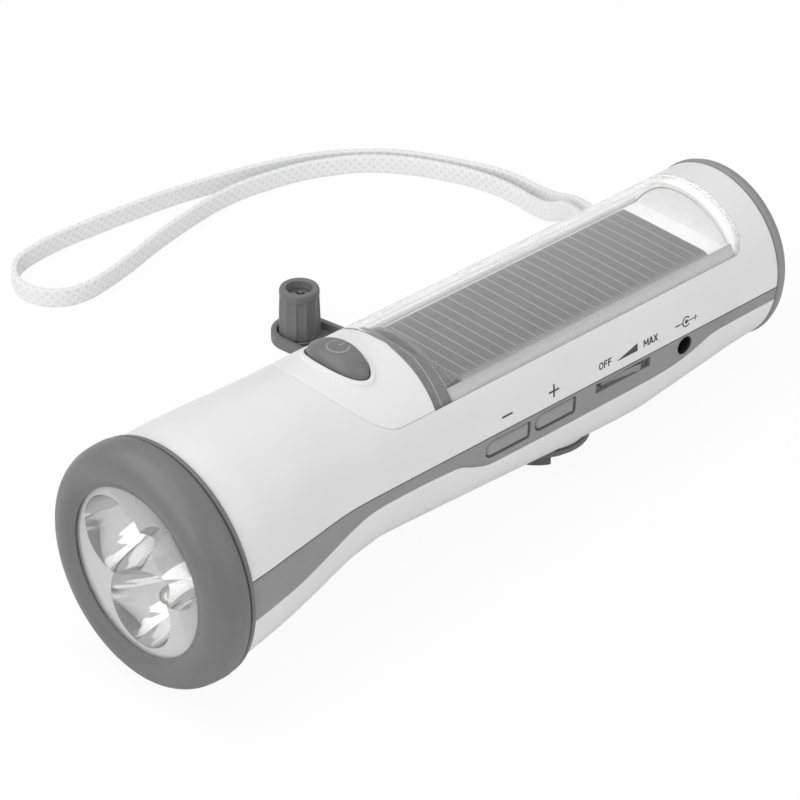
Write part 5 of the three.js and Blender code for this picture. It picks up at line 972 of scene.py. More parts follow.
piece("volume_slider_ramp", slider_grids(), side_grey, "dark_grey", "volume", "volume_slider")
piece("volume_slider_shutter", shutter_grids(), black_part, "black_part", "volume")

socket_section = [(2.5, -22.2), (2.5, -18.85), (2.2, -18.85), (2.2, -22.0), (2.3, -22.2)]
socket = upright(socket_section, 64, (JACK_X, JACK_Z))[..., [0, 2, 1]]
piece("socket_sleeve", [(socket, True, True)], black_part, "black_part")

# %% [markdown]
# ## Front panel, window and button
# The front panel and the window share one outline, and meet at a seam almost square across the body. The
# button sits in an oval hole, with a thin raised collar round it.

# %% Front panel and window
BUTTON_X, BUTTON_FRONT, BUTTON_REAR, BUTTON_HALF = along_body(0.29149), 5.8, 4.1, 9.6
DOME_POWER, DOME_BEND, DOME_RISE = 4.5, 0.36, 3.3


def button_outline(scale=1.0, grow=0.0):
    """An oval that reaches further in front of its widest line than behind it."""
    c, s = np.cos(full_turn(96)), np.sin(full_turn(96))
    reach = np.where(c < 0, BUTTON_FRONT, BUTTON_REAR)
    return np.stack([BUTTON_X + c * (reach * scale + grow), s * (BUTTON_HALF * scale + grow)], axis=-1)


panel = top_wall(inlay_front, lambda y: window_seam(y, -SEAM), INLAY_HALF, 0.0, INLAY_THICK, 0.14, 60)
front_panel = piece("front_panel_skin", panel, white_panel, "white_shell", "torch", "front_panel")
cut(front_panel, [cutter(prism(button_outline(1, 0.35), 15, 45, 2))])
pane = top_wall(lambda y: window_seam(y, SEAM), inlay_tail, INLAY_HALF, 0.0, INLAY_THICK, 0.25, 170, 110)
piece("solar_window_pane", pane, clear_window, "clear", "torch", "solar_window")


def button_collar():
    """A ring round the button: its section has a rounded top and sinks into the panel."""
    edge_points = [
        (0.36, -1.4), (0.36, 0.45), (0.5, 0.63), (0.75, 0.7), (1.1, 0.7), (1.4, 0.6), (1.55, 0.3),
        (1.6, -0.4), (1.3, -1.4),
    ]
    outlines = [(button_outline(1, grow), rise) for grow, rise in edge_points]
    rings = [np.column_stack([flat, top_height(*flat.T) + rise]) for flat, rise in outlines]
    return [(np.stack(rings), True, True)]


piece("button_collar", button_collar(), white_panel, "white_shell")


def over_grip(flat, rise):
    """Flat (x, y) points at a rise over the cylinder that the button's dome stands on."""
    x, y = flat[..., 0], flat[..., 1]
    return np.stack([x, y, GRIP_Z + np.sqrt((GRIP_R - 0.3) ** 2 - y**2) + rise], axis=-1)


def button_grids():
    """A dome over the oval: width to the power 4.5 and height to the power 1/0.36 add up to one."""
    lean = np.linspace(0, np.pi / 2, 34)
    levels = [(np.cos(t) ** (2 / DOME_POWER), np.sin(t) ** (2 * DOME_BEND) * DOME_RISE) for t in lean]
    levels = [(0.0, -4.0), (1.0, -4.0)] + levels
    return [(np.stack([over_grip(button_outline(scale), rise) for scale, rise in levels]), False, True)]


piece("power_button_dome", button_grids(), button_grey, "grey_rubber", "power_button", "power_button")

# %% [markdown]
# The button's sign, an open ring with a bar, is moulded into the dome as a thin raised line. It is drawn flat
# and wrapped on the dome, whose height over any point comes from the same formula as the dome itself.

# %% Power sign
def bent_strip(centre, reach, width, start, end, along, across):
    """A flat grid bent round centre from angle start to end; reach holds its radius along both axes."""
    turn = np.radians(np.linspace(start, end, along))[:, None]
    r = np.linspace(-width / 2, width / 2, across)
    x, y = centre[0] + (reach[0] + r) * np.cos(turn), centre[1] + (reach[1] + r) * np.sin(turn)
    return np.stack([x, y], axis=-1)


def patch(x0, x1, y0, y1, along, across=4):
    """A flat grid over a rectangle."""
    spans = np.linspace(x0, x1, along), np.linspace(y0, y1, across)
    return np.stack(np.meshgrid(*spans, indexing="ij"), axis=-1)


def on_dome(flat, lift):
    """Flat (x, y) points put on the dome: the point's own scale gives the rise there."""
    x, y = flat[..., 0] - BUTTON_X, flat[..., 1]
    scale = np.hypot(x / np.where(x < 0, BUTTON_FRONT, BUTTON_REAR), y / BUTTON_HALF)
    rise = np.clip(1 - scale**DOME_POWER, 0, 1) ** DOME_BEND * DOME_RISE
    return over_grip(flat, rise + lift)


def power_sign():
    """An open ring and a bar, each a strip of a few rows, a tenth of a millimetre high."""
    x, radius, width = BUTTON_X - 0.3, 2.7, 0.42
    ring = bent_strip((x, 0.0), (radius, radius), width, 40, 320, 60, 4)
    bar = patch(x + 0.4, x + 3.1, -width / 2, width / 2, 10)
    return [g for flat in (ring, bar) for g in wall(on_dome(flat, 0.07), on_dome(flat, -0.2), 0)]


piece("power_button_sign", power_sign(), sign_grey, "grey_rubber", "power_button")

# %% [markdown]
# ## Solar cell and tray
# The cell is a thin film on glass, cut into narrow strips by fine pale lines, one every few millimetres. The
# lines lie in the film and belong to its material, which also grows lighter along the cell towards its tail.

# %% Solar cell
CELL_X, CELL_LENGTH, CELL_HALF = along_body(0.43211), 0.46444 * BODY_LENGTH, 1.2467 * GRIP_R / 2
CELL_TAIL = CELL_X + CELL_LENGTH
CELL_TOP, CELL_THICK, CELL_LINES = GRIP_Z + 0.5419 * GRIP_R, 0.8, 26


def film_material():
    """Dark film, pale thin lines across it at even places, and a tone that grows lighter from the front to
    the tail.
    """
    material, tree, shader, place = new_material("cell_film")
    x = along_axis(tree, place, "X")
    strip = worked(tree, "DIVIDE", worked(tree, "SUBTRACT", x, CELL_X), CELL_LENGTH / CELL_LINES)
    line = ranged(tree, worked(tree, "PINGPONG", strip, 0.5), 1, 0, 0.02, 0.05)
    # The film grows lighter from just before the cell's front towards its tail.
    tone = blended(tree, ranged(tree, x, 0, 1, CELL_X - 10, CELL_TAIL), grey(0.05), grey(0.09))
    grainy = blended(tree, ranged(tree, noise(tree, place, 7, 3), 0, 0.05), tone, grey(0.06))
    wire(shader, {
        "Base Color": blended(tree, line, grainy, grey(0.28)),
        "Roughness": ranged(tree, noise(tree, place, 3, 3), 0.5, 0.56),
        "Specular IOR Level": 0.2,
        "Normal": bumped(tree, line, 0.003),
    })
    return material


def border_material():
    """Painted shade: grey that fades from dark at the cell's near edge to light at the window's edge."""
    material, tree, shader, place = new_material("border_print")
    # Painted shade, darkest where the sheet meets the cell's near edge.
    fade = ranged(tree, along_axis(tree, place, "Y"), 0, 1, 0.4 - INLAY_HALF, -CELL_HALF)
    specks = ranged(tree, noise(tree, place, 9, 3), 0, 0.06)
    tone = blended(tree, specks, blended(tree, fade, grey(0.5), grey(0.11)), grey(0.3))
    wire(shader, {"Base Color": tone, "Roughness": 0.6, "Specular IOR Level": 0.2})
    return material


cell_film, border_print = film_material(), border_material()
cell_plate = rounded(rectangle(CELL_X, CELL_TAIL, -CELL_HALF, CELL_HALF), 0.15, 3, closed=True)
cell_box = prism(cell_plate, CELL_TOP - CELL_THICK, CELL_TOP, 2)
piece("solar_cell_film", cell_box, cell_film, "cell_film", "torch", "solar_cell")


def film_slope():
    """A dark sheet that falls from under the seam to the cell's front edge, as a half cosine."""
    share = np.linspace(0, 1, 24)[:, None]
    y = np.linspace(-1, 1, 60) * (INLAY_HALF - 3.2 + (CELL_HALF - INLAY_HALF + 3.2) * share)
    front = hole_edge(y, 0.5)
    high = top_height(front, y, 1.9)
    x = front + (CELL_X - 0.05 - front) * share
    z = high + (CELL_TOP - 0.1 - high) * (1 - np.cos(np.pi * share)) / 2
    return thin(np.stack([x, y, z], axis=-1), 0.4)


def on_ledge(x, y):
    """A thin sheet on the ledge that carries the pane."""
    y = np.broadcast_to(y, x.shape)
    return thin(np.stack([x, y, top_height(x, y, INLAY_THICK + 0.02)], axis=-1), 0.08)


def ledge_film():
    """The same film on the ledge under the pane's front, from the seam to the edge of the hole."""
    y = np.linspace(-1, 1, 80) * (INLAY_HALF - 0.4)
    front = window_seam(y, 0.1)
    return on_ledge(front + (hole_edge(y, 0.45) - front) * np.linspace(0, 1, 12)[:, None], y)


def near_border():
    """The sheet of painted shade beside the cell, from the edge of the hole down to the cell's near edge."""
    share = np.linspace(0, 1, 20)[:, None]
    outer, inner = 0.4 - INLAY_HALF, 0.3 - CELL_HALF
    along = np.linspace(CELL_X - 0.5, CELL_TAIL - 0.2, 90)
    x, y = np.broadcast_arrays(along, outer + (inner - outer) * share)
    edge = top_height(x[:1], y[:1], INLAY_THICK + 0.04)
    z = edge + (CELL_TOP + 0.03 - edge) * np.sin(np.pi / 2 * share)
    return thin(np.stack([x, y, z], axis=-1), 0.1)


def near_ledge():
    """The same painted shade on the ledge beside the hole, under the pane's near edge."""
    y = np.broadcast_to(0.35 - INLAY_HALF + 2.65 * np.linspace(0, 1, 16)[:, None], (16, 120))
    front = hole_edge(y, 0.5)
    return on_ledge(front + (HOLE_TAIL - front) * np.linspace(0, 1, 120), y)


piece("cell_border_film", film_slope(), cell_film, "cell_film")
piece("window_ledge_film", ledge_film(), cell_film, "cell_film")
# The sheets beside the cell's near edge carry painted shade.
piece("window_near_border", near_border() + near_ledge(), border_print, "cell_film")

# %% [markdown]
# ## Head ring and lens
# A soft rubber ring holds the lens. Its front rolls in to the glass in a wide curve, and a fine groove runs
# round it near the rear. It is one profile spun about the body's line, and its corners are drawn as arcs.

# %% Head ring
LENS_R, LENS_OPENING, SEAT_R = RING_R - 8.05, RING_R - 9.45, 28.3


def ring_profile():
    """Outline of the ring's cut: the outside from the rear to the lip, then the seats inside."""
    size = [RING_LENGTH, RING_R]
    front = [(0.6, 0.999), (0.354, 0.9855), (0.106, 0.931), (-0.009, 0.844), (0, 0.773), (0.08, 0.718)]
    rear = [
        (1, 0.968), (1, 0.975), (0.97, 0.99), (0.89, 0.987), (0.868, 0.962), (0.85, 0.962), (0.825, 0.993),
        (0.78, 1),
    ]
    lens_seat = [(1.2, LENS_OPENING), (1.5, LENS_OPENING), (1.5, 23.3), (4.2, 23.3)]
    inside = np.array(lens_seat + [(4.2, SEAT_R), (RING_LENGTH, SEAT_R)])
    front, _ = even_curve(np.multiply(front, size), 0.5)
    return np.concatenate([rounded(np.multiply(rear, size), 0.25, 3), front, rounded(inside, 0.12, 3)])


ring = [(turned(ring_profile(), 256), True, True)]
piece("head_ring_rubber", ring, ring_rubber, "grey_rubber", "torch", "head_bezel")
neck_profile = [(4.5, 21.8), (6.0, 21.8), (6.0, 25.5), (13.0, 25.5), (13.0, 28.0), (4.5, 28.0)]
neck = [(turned(rounded(neck_profile, 0.2, 3, closed=True), 128), True, True)]
piece("neck_sleeve", neck, white_inner, "white_shell")
lens = [(turned(rounded(rod_profile(1.8, 2.7, LENS_R), 0.15, 3), 160), False, True)]
piece("lens_disc", lens, clear_lens, "clear", "torch", "lens")

# %% [markdown]
# ## Reflector
# Three deep cups overlap so far that they meet in ridges, and the ridges meet in a point at the middle. Each
# cup's mouth is a circle cut by its two neighbours, so its rim distance is the smaller of the circle and the
# ridge lines. That makes every cup one polar patch, and the flat plate another, with no cutting at all. Each
# cup's skin ripples by a few hundredths of a millimetre, which breaks up what it mirrors.

# %% Reflector
CUP_PITCH, CUP_R, CUP_DEPTH, LAMP_HOLE = 0.4421 * (RING_R - 7.75), 0.4464 * (RING_R - 7.75), 11.5, 2.9
REFLECTOR_X, REFLECTOR_THICK, CUP_ANGLES, CUP_GAP, FAR_OFF = 3.0, 0.9, (-90, 30, 150), 0.004, 1e6
RIPPLES = [(0.05, 7, None), (0.03, 17, 2), (0.018, 31, 1)]


def cup_middle(angle):
    return CUP_PITCH * np.array([math.cos(math.radians(angle)), math.sin(math.radians(angle))])


def cup_patch(angle, inset):
    """Polar patch of one cup. Its depth falls with the square of the distance from its own middle."""
    turn, middle = full_turn(180), cup_middle(angle)
    mouth_r = CUP_R
    for side in (-1, 1):
        lean = math.radians(angle + 60 * side)
        normal = side * np.array([-math.sin(lean), math.cos(lean)])
        toward = np.cos(turn) * normal[0] + np.sin(turn) * normal[1]
        ridge = np.where(toward > 1e-6, -normal @ middle / np.maximum(toward, 1e-6), FAR_OFF)
        mouth_r = np.minimum(mouth_r, ridge)
    share = np.linspace(0, 1, 44)[:, None] ** 0.9
    r = LAMP_HOLE + (mouth_r - CUP_GAP - LAMP_HOLE) * share
    waves = sum(size * np.sin(n * turn + (angle if lag is None else lag)) for size, n, lag in RIPPLES)
    depth = CUP_DEPTH * (1 - (r / CUP_R) ** 2) + waves * np.sin(np.pi * share)
    y, z = middle[0] + r * np.cos(turn), middle[1] + r * np.sin(turn)
    return np.stack([REFLECTOR_X + depth + inset, y, z], axis=-1)


def plate_patch(inset):
    """From the three cups' common outline out to the plate's rim."""
    turn = np.linspace(-np.pi / 2, 1.5 * np.pi, 540, endpoint=False)
    off = (turn - math.radians(CUP_ANGLES[0]) + np.pi / 3) % (2 * np.pi / 3) - np.pi / 3
    start = CUP_PITCH * np.cos(off) + np.sqrt(CUP_R**2 - (CUP_PITCH * np.sin(off)) ** 2) + CUP_GAP
    r = start + (LENS_R - start) * np.linspace(0, 1, 26)[:, None]
    return np.stack([np.full(r.shape, REFLECTOR_X + inset), r * np.cos(turn), r * np.sin(turn)], axis=-1)


def round_wall(patch_at):
    """A closed wall between a round patch and the same patch one thickness behind it."""
    front, behind = patch_at(0.0), patch_at(REFLECTOR_THICK)
    borders = [np.stack([front[k], behind[k]]) for k in (0, -1)]
    return [(grid, False, True) for grid in (front, behind, *borders)]


cups = [grid for angle in CUP_ANGLES for grid in round_wall(lambda inset: cup_patch(angle, inset))]
piece("reflector_mirror", cups, mirror_coat, "mirror_coat", "torch", "reflector")
piece("reflector_plate", round_wall(plate_patch), satin_coat, "mirror_coat")

LAMP_NOSE = np.linspace(0, np.pi / 2, 12)
LAMP_DOME = np.stack([11.0 - 2.5 * np.cos(LAMP_NOSE), 2.5 * np.sin(LAMP_NOSE)], axis=-1)
LAMP_PROFILE = np.concatenate([LAMP_DOME, [(15.4, 2.5), (15.5, 2.85), (16.5, 2.85), (16.5, 0)]])
CHIP_PROFILE = [(13.0, 0), (13.0, 0.9), (13.4, 1.6), (15.2, 1.6), (15.2, 0)]
for number, angle in enumerate(CUP_ANGLES, 1):
    at = cup_middle(angle)
    dome = [(turned(LAMP_PROFILE, 48, at), False, True)]
    piece(f"led_{number}_dome", dome, clear_lamp, "clear", "torch", f"led_{number}")
    piece(f"led_{number}_chip", [(turned(CHIP_PROFILE, 24, at), False, True)], steel, "steel")

# %% [markdown]
# ## Tail cap
# The grey cap has the body's own section, swollen a little in the middle of its depth. The speaker sounds
# through two circles of round holes, and two sunk screws hold the cap.

# %% Tail cap
CAP_INSIDE, CAP_FACE = CAP_END - 1.5, CAP_END - 0.12
SPEAKER_Z, SPEAKER_R, SPEAKER_HOLES = GRIP_Z - 0.8, 15, [(0.44, 6), (0.7066, 12)]
TAIL_SCREWS = [(-9.5, GRIP_Z - 0.7841 * GRIP_R), (9.5, GRIP_Z - 0.7841 * GRIP_R)]


def cap_grids():
    """Rings of the tail section at (x, inset), closed on the outside by a slightly sunk middle."""
    lean = np.linspace(0, np.pi / 2, 8)
    steps = [
        (CAP_INSIDE, 2.9), (CAP_X, 2.7), (CAP_X, 0.25), (CAP_X + 0.12, 0.05), (CAP_X + 0.5, -0.22),
        (CAP_X + 1, -0.32), (CAP_X + 1.5, -0.27),
        *((CAP_END - 1 + math.sin(t), 0.75 - 0.75 * math.cos(t)) for t in lean),
        (CAP_END, 1.6), (CAP_FACE, 2.2), (CAP_FACE, 8),
    ]
    x, insets = np.array(steps).T[..., None]
    grid = skin(BODY_TAIL, full_turn(200), insets)
    grid[..., 0] = x
    ends = [np.broadcast_to([x, 0, GRIP_Z], (1, 200, 3)) for x in (CAP_INSIDE, CAP_FACE)]
    return [(np.concatenate([ends[0], grid, ends[1]]), False, True)]


def hole(y, z, radius, start):
    """A cutter for a round hole from x = start out through the cap's face."""
    return cutter([(turned(rod_profile(start, CAP_END + 2, radius), 32, (y, z)), False, True)])


cap = piece("tail_cap_cover", cap_grids(), side_grey, "grey_trim", "torch", "tail_cap")
circles = [(share * SPEAKER_R, full_turn(count)) for share, count in SPEAKER_HOLES]
places = [(r * math.cos(t), SPEAKER_Z + r * math.sin(t)) for r, turn in circles for t in turn]
cap_holes = [hole(y, z, 1.15, CAP_X - 1) for y, z in places]
cut(cap, cap_holes + [hole(y, z, 2.8, CAP_END - 1.3) for y, z in TAIL_SCREWS])

# %% [markdown]
# ## Screws
# Each screw has a cross recess. Its arms taper towards their ends, so the cutter is a four-pointed outline
# that shrinks as it goes down.

# %% Screw heads
SHAFT_R = 1.1


def cross_outline(size):
    """A plus sign: eight outer corners at size and four inner ones where the arms meet."""
    w = 0.22 * size
    arm = np.array([(size, -w), (size, w), (w, w)])
    turns = [(math.cos(a), math.sin(a)) for a in np.pi / 2 * np.arange(4)]
    return np.concatenate([arm @ [[c, s], [-s, c]] for c, s in turns])


def screw_head(name, radius, height, tail, place, axis, body="torch"):
    """A low dome with a cross recess, its face outward along axis (a unit vector) from place."""
    edge = [(radius - 0.35 * t, -0.3 + 0.3 * math.sqrt(1 - (1 - t) ** 2)) for t in np.linspace(0, 1, 8)]
    shaft = [(0, -tail), (SHAFT_R, -tail), (SHAFT_R, -height), (radius, -height)]
    head = upright(shaft + edge + [(0, 0.05)], 48)
    outline, floor = cross_outline(radius * 0.55), -height * 0.7
    levels = ((0, 0.5), (1.05, 0.5), (0.75, floor), (0, floor))
    recess = np.stack([at_level(outline * scale, z) for scale, z in levels])
    axis = np.array(axis, dtype=float)
    side = np.cross(axis, [0.3, 0.8, 0.52] if abs(axis[0]) > 0.5 else [0.2, 1.0, 0.0])
    side /= np.linalg.norm(side)
    turn = np.stack([side, np.cross(axis, side), axis])
    node = name.removesuffix("_head")
    made = piece(name, [(head @ turn + place, False, True)], steel, "steel", body, node)
    cut(made, [cutter([(recess @ turn + place, False, True)])])


for number, (y, z) in enumerate(TAIL_SCREWS, 1):
    screw_head(f"tail_screw_{number}_head", 2.5, 1.1, 12, [CAP_END - 0.3, y, z], (1, 0, 0))
for number, (x, y) in enumerate(NECK_SCREWS, 1):
    screw_head(f"neck_screw_{number}_head", 2.5, 1.6, 10, [x, y, -11.7], (0, 0, -1))

# %% [markdown]
# ## Crank
# The hub turns under the pad. The arm hinges in the hub's slot and ends in a post, on which the fluted knob
# turns. All three are drawn in their own frames, crank and arm, and a rotation brings them to their places.

# %% Crank hub
HINGE_Z, ARM_THICK, ARM_END_R, ARM_ROOT, ARM_ROOT_HALF = PAD_Z - 3.6, 3.2, 7.6, 11.5, 9.6
ARM_DROOP = math.radians(1.232)


def from_crank(points):
    """Crank frame to the level drawing: turned by the arm's angle round the hub's upright axis."""
    p = np.asarray(points, dtype=float)
    c, s = math.cos(math.radians(ARM_ANGLE)), math.sin(math.radians(ARM_ANGLE))
    x, y = p[..., 0] * c - p[..., 1] * s, p[..., 0] * s + p[..., 1] * c
    return np.stack([x + HUB_X, y, p[..., 2]], axis=-1)


def from_arm(points):
    """Arm frame to the level drawing: droops by a little about the hinge pin, then as the crank."""
    p = np.asarray(points, dtype=float)
    c, s = math.cos(ARM_DROOP), math.sin(ARM_DROOP)
    x, z = p[..., 0] * c + p[..., 2] * s, HINGE_Z + p[..., 2] * c - p[..., 0] * s
    return from_crank(np.stack([x, p[..., 1], z], axis=-1))


def moved(grids, way):
    """Grids as piece() takes them, brought from their own frame by one of the functions above."""
    return [(way(grid), *wraps) for grid, *wraps in grids]


def along_y(profile, sides):
    """A profile spun about the y axis of its own frame."""
    return turned(profile, sides)[..., [1, 0, 2]]


hub_profile = [
    (0, PAD_Z - 5.8), (HUB_R, PAD_Z - 5.8), (HUB_R, PAD_Z - 1.7), (13.7, PAD_Z - 1.7), (13.7, PAD_Z - 0.3),
    (4.0, PAD_Z - 0.3), (4.0, PAD_Z + 8.0), (0, PAD_Z + 8.0),
]
hub_grids = [(from_crank(upright(rounded(hub_profile, 0.45), 160)), False, True)]
hub = piece("crank_hub_turned", hub_grids, crank_grey, "dark_grey", "crank", "crank_hub")
pad_profile = rounded(rectangle(6.2, 13, PAD_Z, PAD_Z + 3.4), 0.3, 3, closed=True)
piece("hub_pad_ring", [(upright(pad_profile, 128, (HUB_X, 0)), True, True)], white_shell, "white_shell")
hub_slot = prism(rectangle(-15, 15, -5.7, 5.7), PAD_Z - 8, PAD_Z - 1.4, 2)
cut(hub, [cutter(moved(hub_slot, from_crank))])
pin_profile = [(-10.4, 0), (-10.4, 0.9), (-10.3, 1), (10.3, 1), (10.4, 0.9), (10.4, 0)]
pin = [(from_crank(along_y(pin_profile, 32) + [0, 0, HINGE_Z]), False, True)]
piece("hinge_pin_rod", pin, steel, "steel", "crank", "hinge_pin")

# %% [markdown]
# The arm is a shallow trough: a flat plate with a raised rim. Its outline goes straight from the hub to a
# round end, and the trough is the same outline drawn in.

# %% Crank arm
ROOT_CORNER, TROUGH_Z = 1.2, -0.5


def arm_outline(inset):
    """Two straight sides from the root that meet the round end as tangents, with eased root corners."""
    root, half = ARM_ROOT + inset + ROOT_CORNER, ARM_ROOT_HALF - inset
    lean = math.degrees(math.asin((ARM_ROOT_HALF - ARM_END_R) / ARM_LENGTH))
    end = arc_outline((ARM_LENGTH, 0), ARM_END_R - inset, lean - 90, 90 - lean, 40)
    out, home = np.linspace([root, -half], end[0], 24), np.linspace(end[-1], [root, half], 24)
    turn_in = arc_outline((root, half - ROOT_CORNER), ROOT_CORNER, 90, 180, 6)
    turn_out = arc_outline((root, ROOT_CORNER - half), ROOT_CORNER, 180, 270, 6)
    across = np.linspace(turn_in[-1], turn_out[0], 16)
    return np.concatenate([out[:-1], end, home[1:-1], turn_in, across[1:-1], turn_out[:-1]])


def arm_grids():
    """Rings of the outline from the underside, over the rim, down into the trough and in to a middle line."""
    half = ARM_THICK / 2
    steps = [
        (0.35, -half), (0.1, -half + 0.1), (0, -half + 0.35), (0, half - 0.3), (0.1, half - 0.08),
        (0.35, half), (1.3, half), (1.5, half - 0.06), (1.6, half - 0.25), (1.7, -0.2), (1.85, -0.42),
        (2.2, TROUGH_Z),
    ]
    rings = [at_level(arm_outline(inset), z) for inset, z in steps]
    under, floor = arm_outline(steps[0][0]), arm_outline(steps[-1][0])
    line = np.column_stack([np.clip(floor[:, 0], ARM_ROOT + 9, ARM_LENGTH), np.zeros(len(floor))])
    below = [at_level(under + (line - under) * part, -half) for part in (1.0, 0.66, 0.33)]
    inner = [at_level(floor + (line - floor) * part, TROUGH_Z) for part in (0.33, 0.66, 1.0)]
    return [(from_arm(np.stack(below + rings + inner)), False, True)]


piece("crank_arm_trough", arm_grids(), crank_grey, "dark_grey", "arm", "crank_arm")
tongue_outline = np.concatenate([[(13.4, 1.5)], arc_outline((0, 0), 1.6, 90, 270, 24), [(13.4, -1.6)]])
tongue_grids = moved(prism(tongue_outline, -5.4, 5.4, 1), from_arm)
tongue = piece("arm_tongue", tongue_grids, crank_grey, "dark_grey", "arm")
cut(tongue, [cutter([(from_arm(along_y(rod_profile(-7, 7, 1.3), 40)), False, True)])])
post = upright(rounded(rectangle(0, 2.6, -0.9, 7.1), 0.2), 64, (ARM_LENGTH, 0))
piece("knob_post", [(from_arm(post), False, True)], crank_grey, "dark_grey", "arm")

# %% [markdown]
# ## Knob
# Twelve shallow flutes run up the knob and fade under its plain top. The flutes are a cosine round the
# section, made round at the crests, and the well in the middle holds a screw.

# %% Knob, washer and screw
KNOB_Z, KNOB_HEIGHT, KNOB_R, KNOB_TAPER, KNOB_SIDES = 0.6, 13.4, 5.7, 0.4, 288
FLUTES, FLUTE_DEPTH, FLUTE_TOP = 12, 0.34, 11.6
KNOB_EDGES = np.array([
    [0, 0.5], [0.1, 0.25], [0.35, 0.06], [0.7, 0], [12.5, 0], [12.9, 0.04], [13.2, 0.15], [13.36, 0.3],
    [KNOB_HEIGHT, 0.5],
])


def knob_grids():
    """Radius over height, less a flute: depth times the flute's wave, which fades to nothing at the top."""
    turn = full_turn(KNOB_SIDES)
    low, top = KNOB_EDGES[:3, 0], KNOB_EDGES[5:, 0]
    z = np.concatenate([low, np.linspace(0.7, 11.0, 22), np.linspace(11.15, 12.5, 6), top])
    r = KNOB_R - KNOB_TAPER * np.clip(z / 11.2, 0, 1) - np.interp(z, *KNOB_EDGES.T)
    wave = 1 - np.abs(np.cos(FLUTES / 2 * turn)) ** 7
    fade = np.clip((FLUTE_TOP - z) / 0.7, 0, 1) * np.clip(z / 0.5, 0, 1)
    reach = r[:, None] - FLUTE_DEPTH * wave * (3 * fade**2 - 2 * fade**3)[:, None]
    height = np.repeat(z[:, None], KNOB_SIDES, axis=1)
    side = np.stack([reach * np.cos(turn), reach * np.sin(turn), height], axis=-1)
    inside = [(4.4, KNOB_HEIGHT), (3.45, KNOB_HEIGHT), (3.45, 6.2), (2.9, 6.2), (2.9, 0.0), (5.0, 0.0)]
    well = upright(rounded(inside, 0.25, 3)[1:-1], KNOB_SIDES)
    return [(from_arm(np.concatenate([side, well]) + [ARM_LENGTH, 0, KNOB_Z]), True, True)]


piece("crank_knob_fluted", knob_grids(), crank_grey, "dark_grey", "knob", "crank_knob")
washer = upright(rounded(rectangle(2.9, 5.5, -0.2, 0.3), 0.12, 3, closed=True), 96, (ARM_LENGTH, 0))
piece("knob_washer_ring", [(from_arm(washer), True, True)], side_grey, "grey_trim", "arm", "knob_washer")
up_axis = from_arm([0, 0, 1.0]) - from_arm([0, 0, 0.0])
screw_head("knob_screw_head", 3.15, 3.0, 6.5, from_arm([ARM_LENGTH, 0, 11.8]), up_axis, "arm")

# %% [markdown]
# ## Printed signs
# The signs beside the controls are ink, pressed on in a layer thinner than a hair. Each is drawn flat in
# millimetres and wrapped on the shell: a point's second coordinate becomes its height, and the body's own
# side depth puts it on the skin.

# %% Signs beside the controls
SIGN_Z, INK_LIFT, INK_SINK = 11.0, 0.03, 0.05
STROKE_WIDTH, LETTER_GAP = 0.36, 0.42
STROKES = {
    "F": [((0, 0), (0, 2)), ((0, 1.82), (1.0, 1.82)), ((0, 1.02), (0.86, 1.02))],
    "M": [((0, 0), (0, 2)), ((0.05, 1.9), (0.72, 0.5)), ((0.72, 0.5), (1.39, 1.9)), ((1.44, 2), (1.44, 0))],
    "A": [((0, 0), (0.64, 2)), ((0.64, 2), (1.28, 0)), ((0.28, 0.6), (1.0, 0.6))],
    "X": [((0, 0), (1.2, 2)), ((0, 2), (1.2, 0))],
}
LETTER_WIDTH = {"O": 1.5, "F": 1.0, "M": 1.44, "A": 1.28, "X": 1.2}


def inked(flat, lift=INK_LIFT):
    """A thin plate of ink over a flat grid in (x, z)."""
    return wall(on_side(flat, lift), on_side(flat, -INK_SINK), 0)


def bar(x0, x1, low, high, along=8):
    """A bar of ink, its heights given from the line of signs."""
    return inked(patch(x0, x1, SIGN_Z + low, SIGN_Z + high, along))


def upright_bars(middle, half, start, end):
    """The upright stroke of a plus sign: a bar below the line across and one above it."""
    return [grid for z in ((-end, -start), (start, end)) for grid in bar(middle - half, middle + half, *z, 3)]


def stroke(start, end, lift):
    """A bar of ink along a straight line."""
    side = np.array([start[1] - end[1], end[0] - start[0]]) / np.linalg.norm(end - start) * STROKE_WIDTH
    along, across = np.linspace(0, 1, 8)[:, None, None], np.linspace(-0.5, 0.5, 4)[None, :, None]
    return inked(start + (end - start) * along + side * across, lift)


def letters(words, x, z):
    """Capitals 2 mm high, centred on x and z: straight strokes, and an oval for the round one. Each
    stroke lies a hair higher than the last."""
    x -= (sum(LETTER_WIDTH[c] for c in words) + LETTER_GAP * (len(words) - 1)) / 2
    made = []
    for letter in words:
        for points in STROKES.get(letter, []):
            start, end = (np.array(point) + [x, z - 1] for point in points)
            made += stroke(start, end, INK_LIFT + 0.001 * len(made))
        if letter == "O":
            made += inked(bent_strip((x + 0.75, z), (0.62, 0.86), STROKE_WIDTH, 0, 360, 48, 4))
        x += LETTER_WIDTH[letter] + LETTER_GAP
    return made


signs = bar(98.2, 101.8, -0.27, 0.27)
signs += bar(114.2, 117.8, -0.27, 0.27) + upright_bars(116.0, 0.27, 0.28, 1.8)
wedge = patch(138.2, 145.4, 0, 1, 16)
wedge[..., 1] = SIGN_Z - 1.0 + wedge[..., 1] * (0.12 + (wedge[..., 0] - 138.2) / 7.2 * 2.0)
signs += inked(wedge)
signs += bar(159.0, 160.6, -0.2, 0.2) + bar(160.65, 161.75, -0.13, 0.13)
signs += inked(bent_strip((163.0, SIGN_Z), (1.3, 1.3), 0.36, 40, 320, 48, 3))
signs += inked(bent_strip((163.0, SIGN_Z), (0.3, 0.3), 0.5, 0, 360, 48, 3))
signs += bar(163.6, 165.35, -0.13, 0.13)
signs += bar(165.4, 167.0, -0.12, 0.12) + upright_bars(166.2, 0.12, 0.14, 0.8)
piece("printed_signs", signs, ink, "grey_trim")
piece("printed_off", letters("OFF", 133.9, SIGN_Z), ink, "grey_trim")
piece("printed_max", letters("MAX", 150.1, SIGN_Z), ink, "grey_trim")

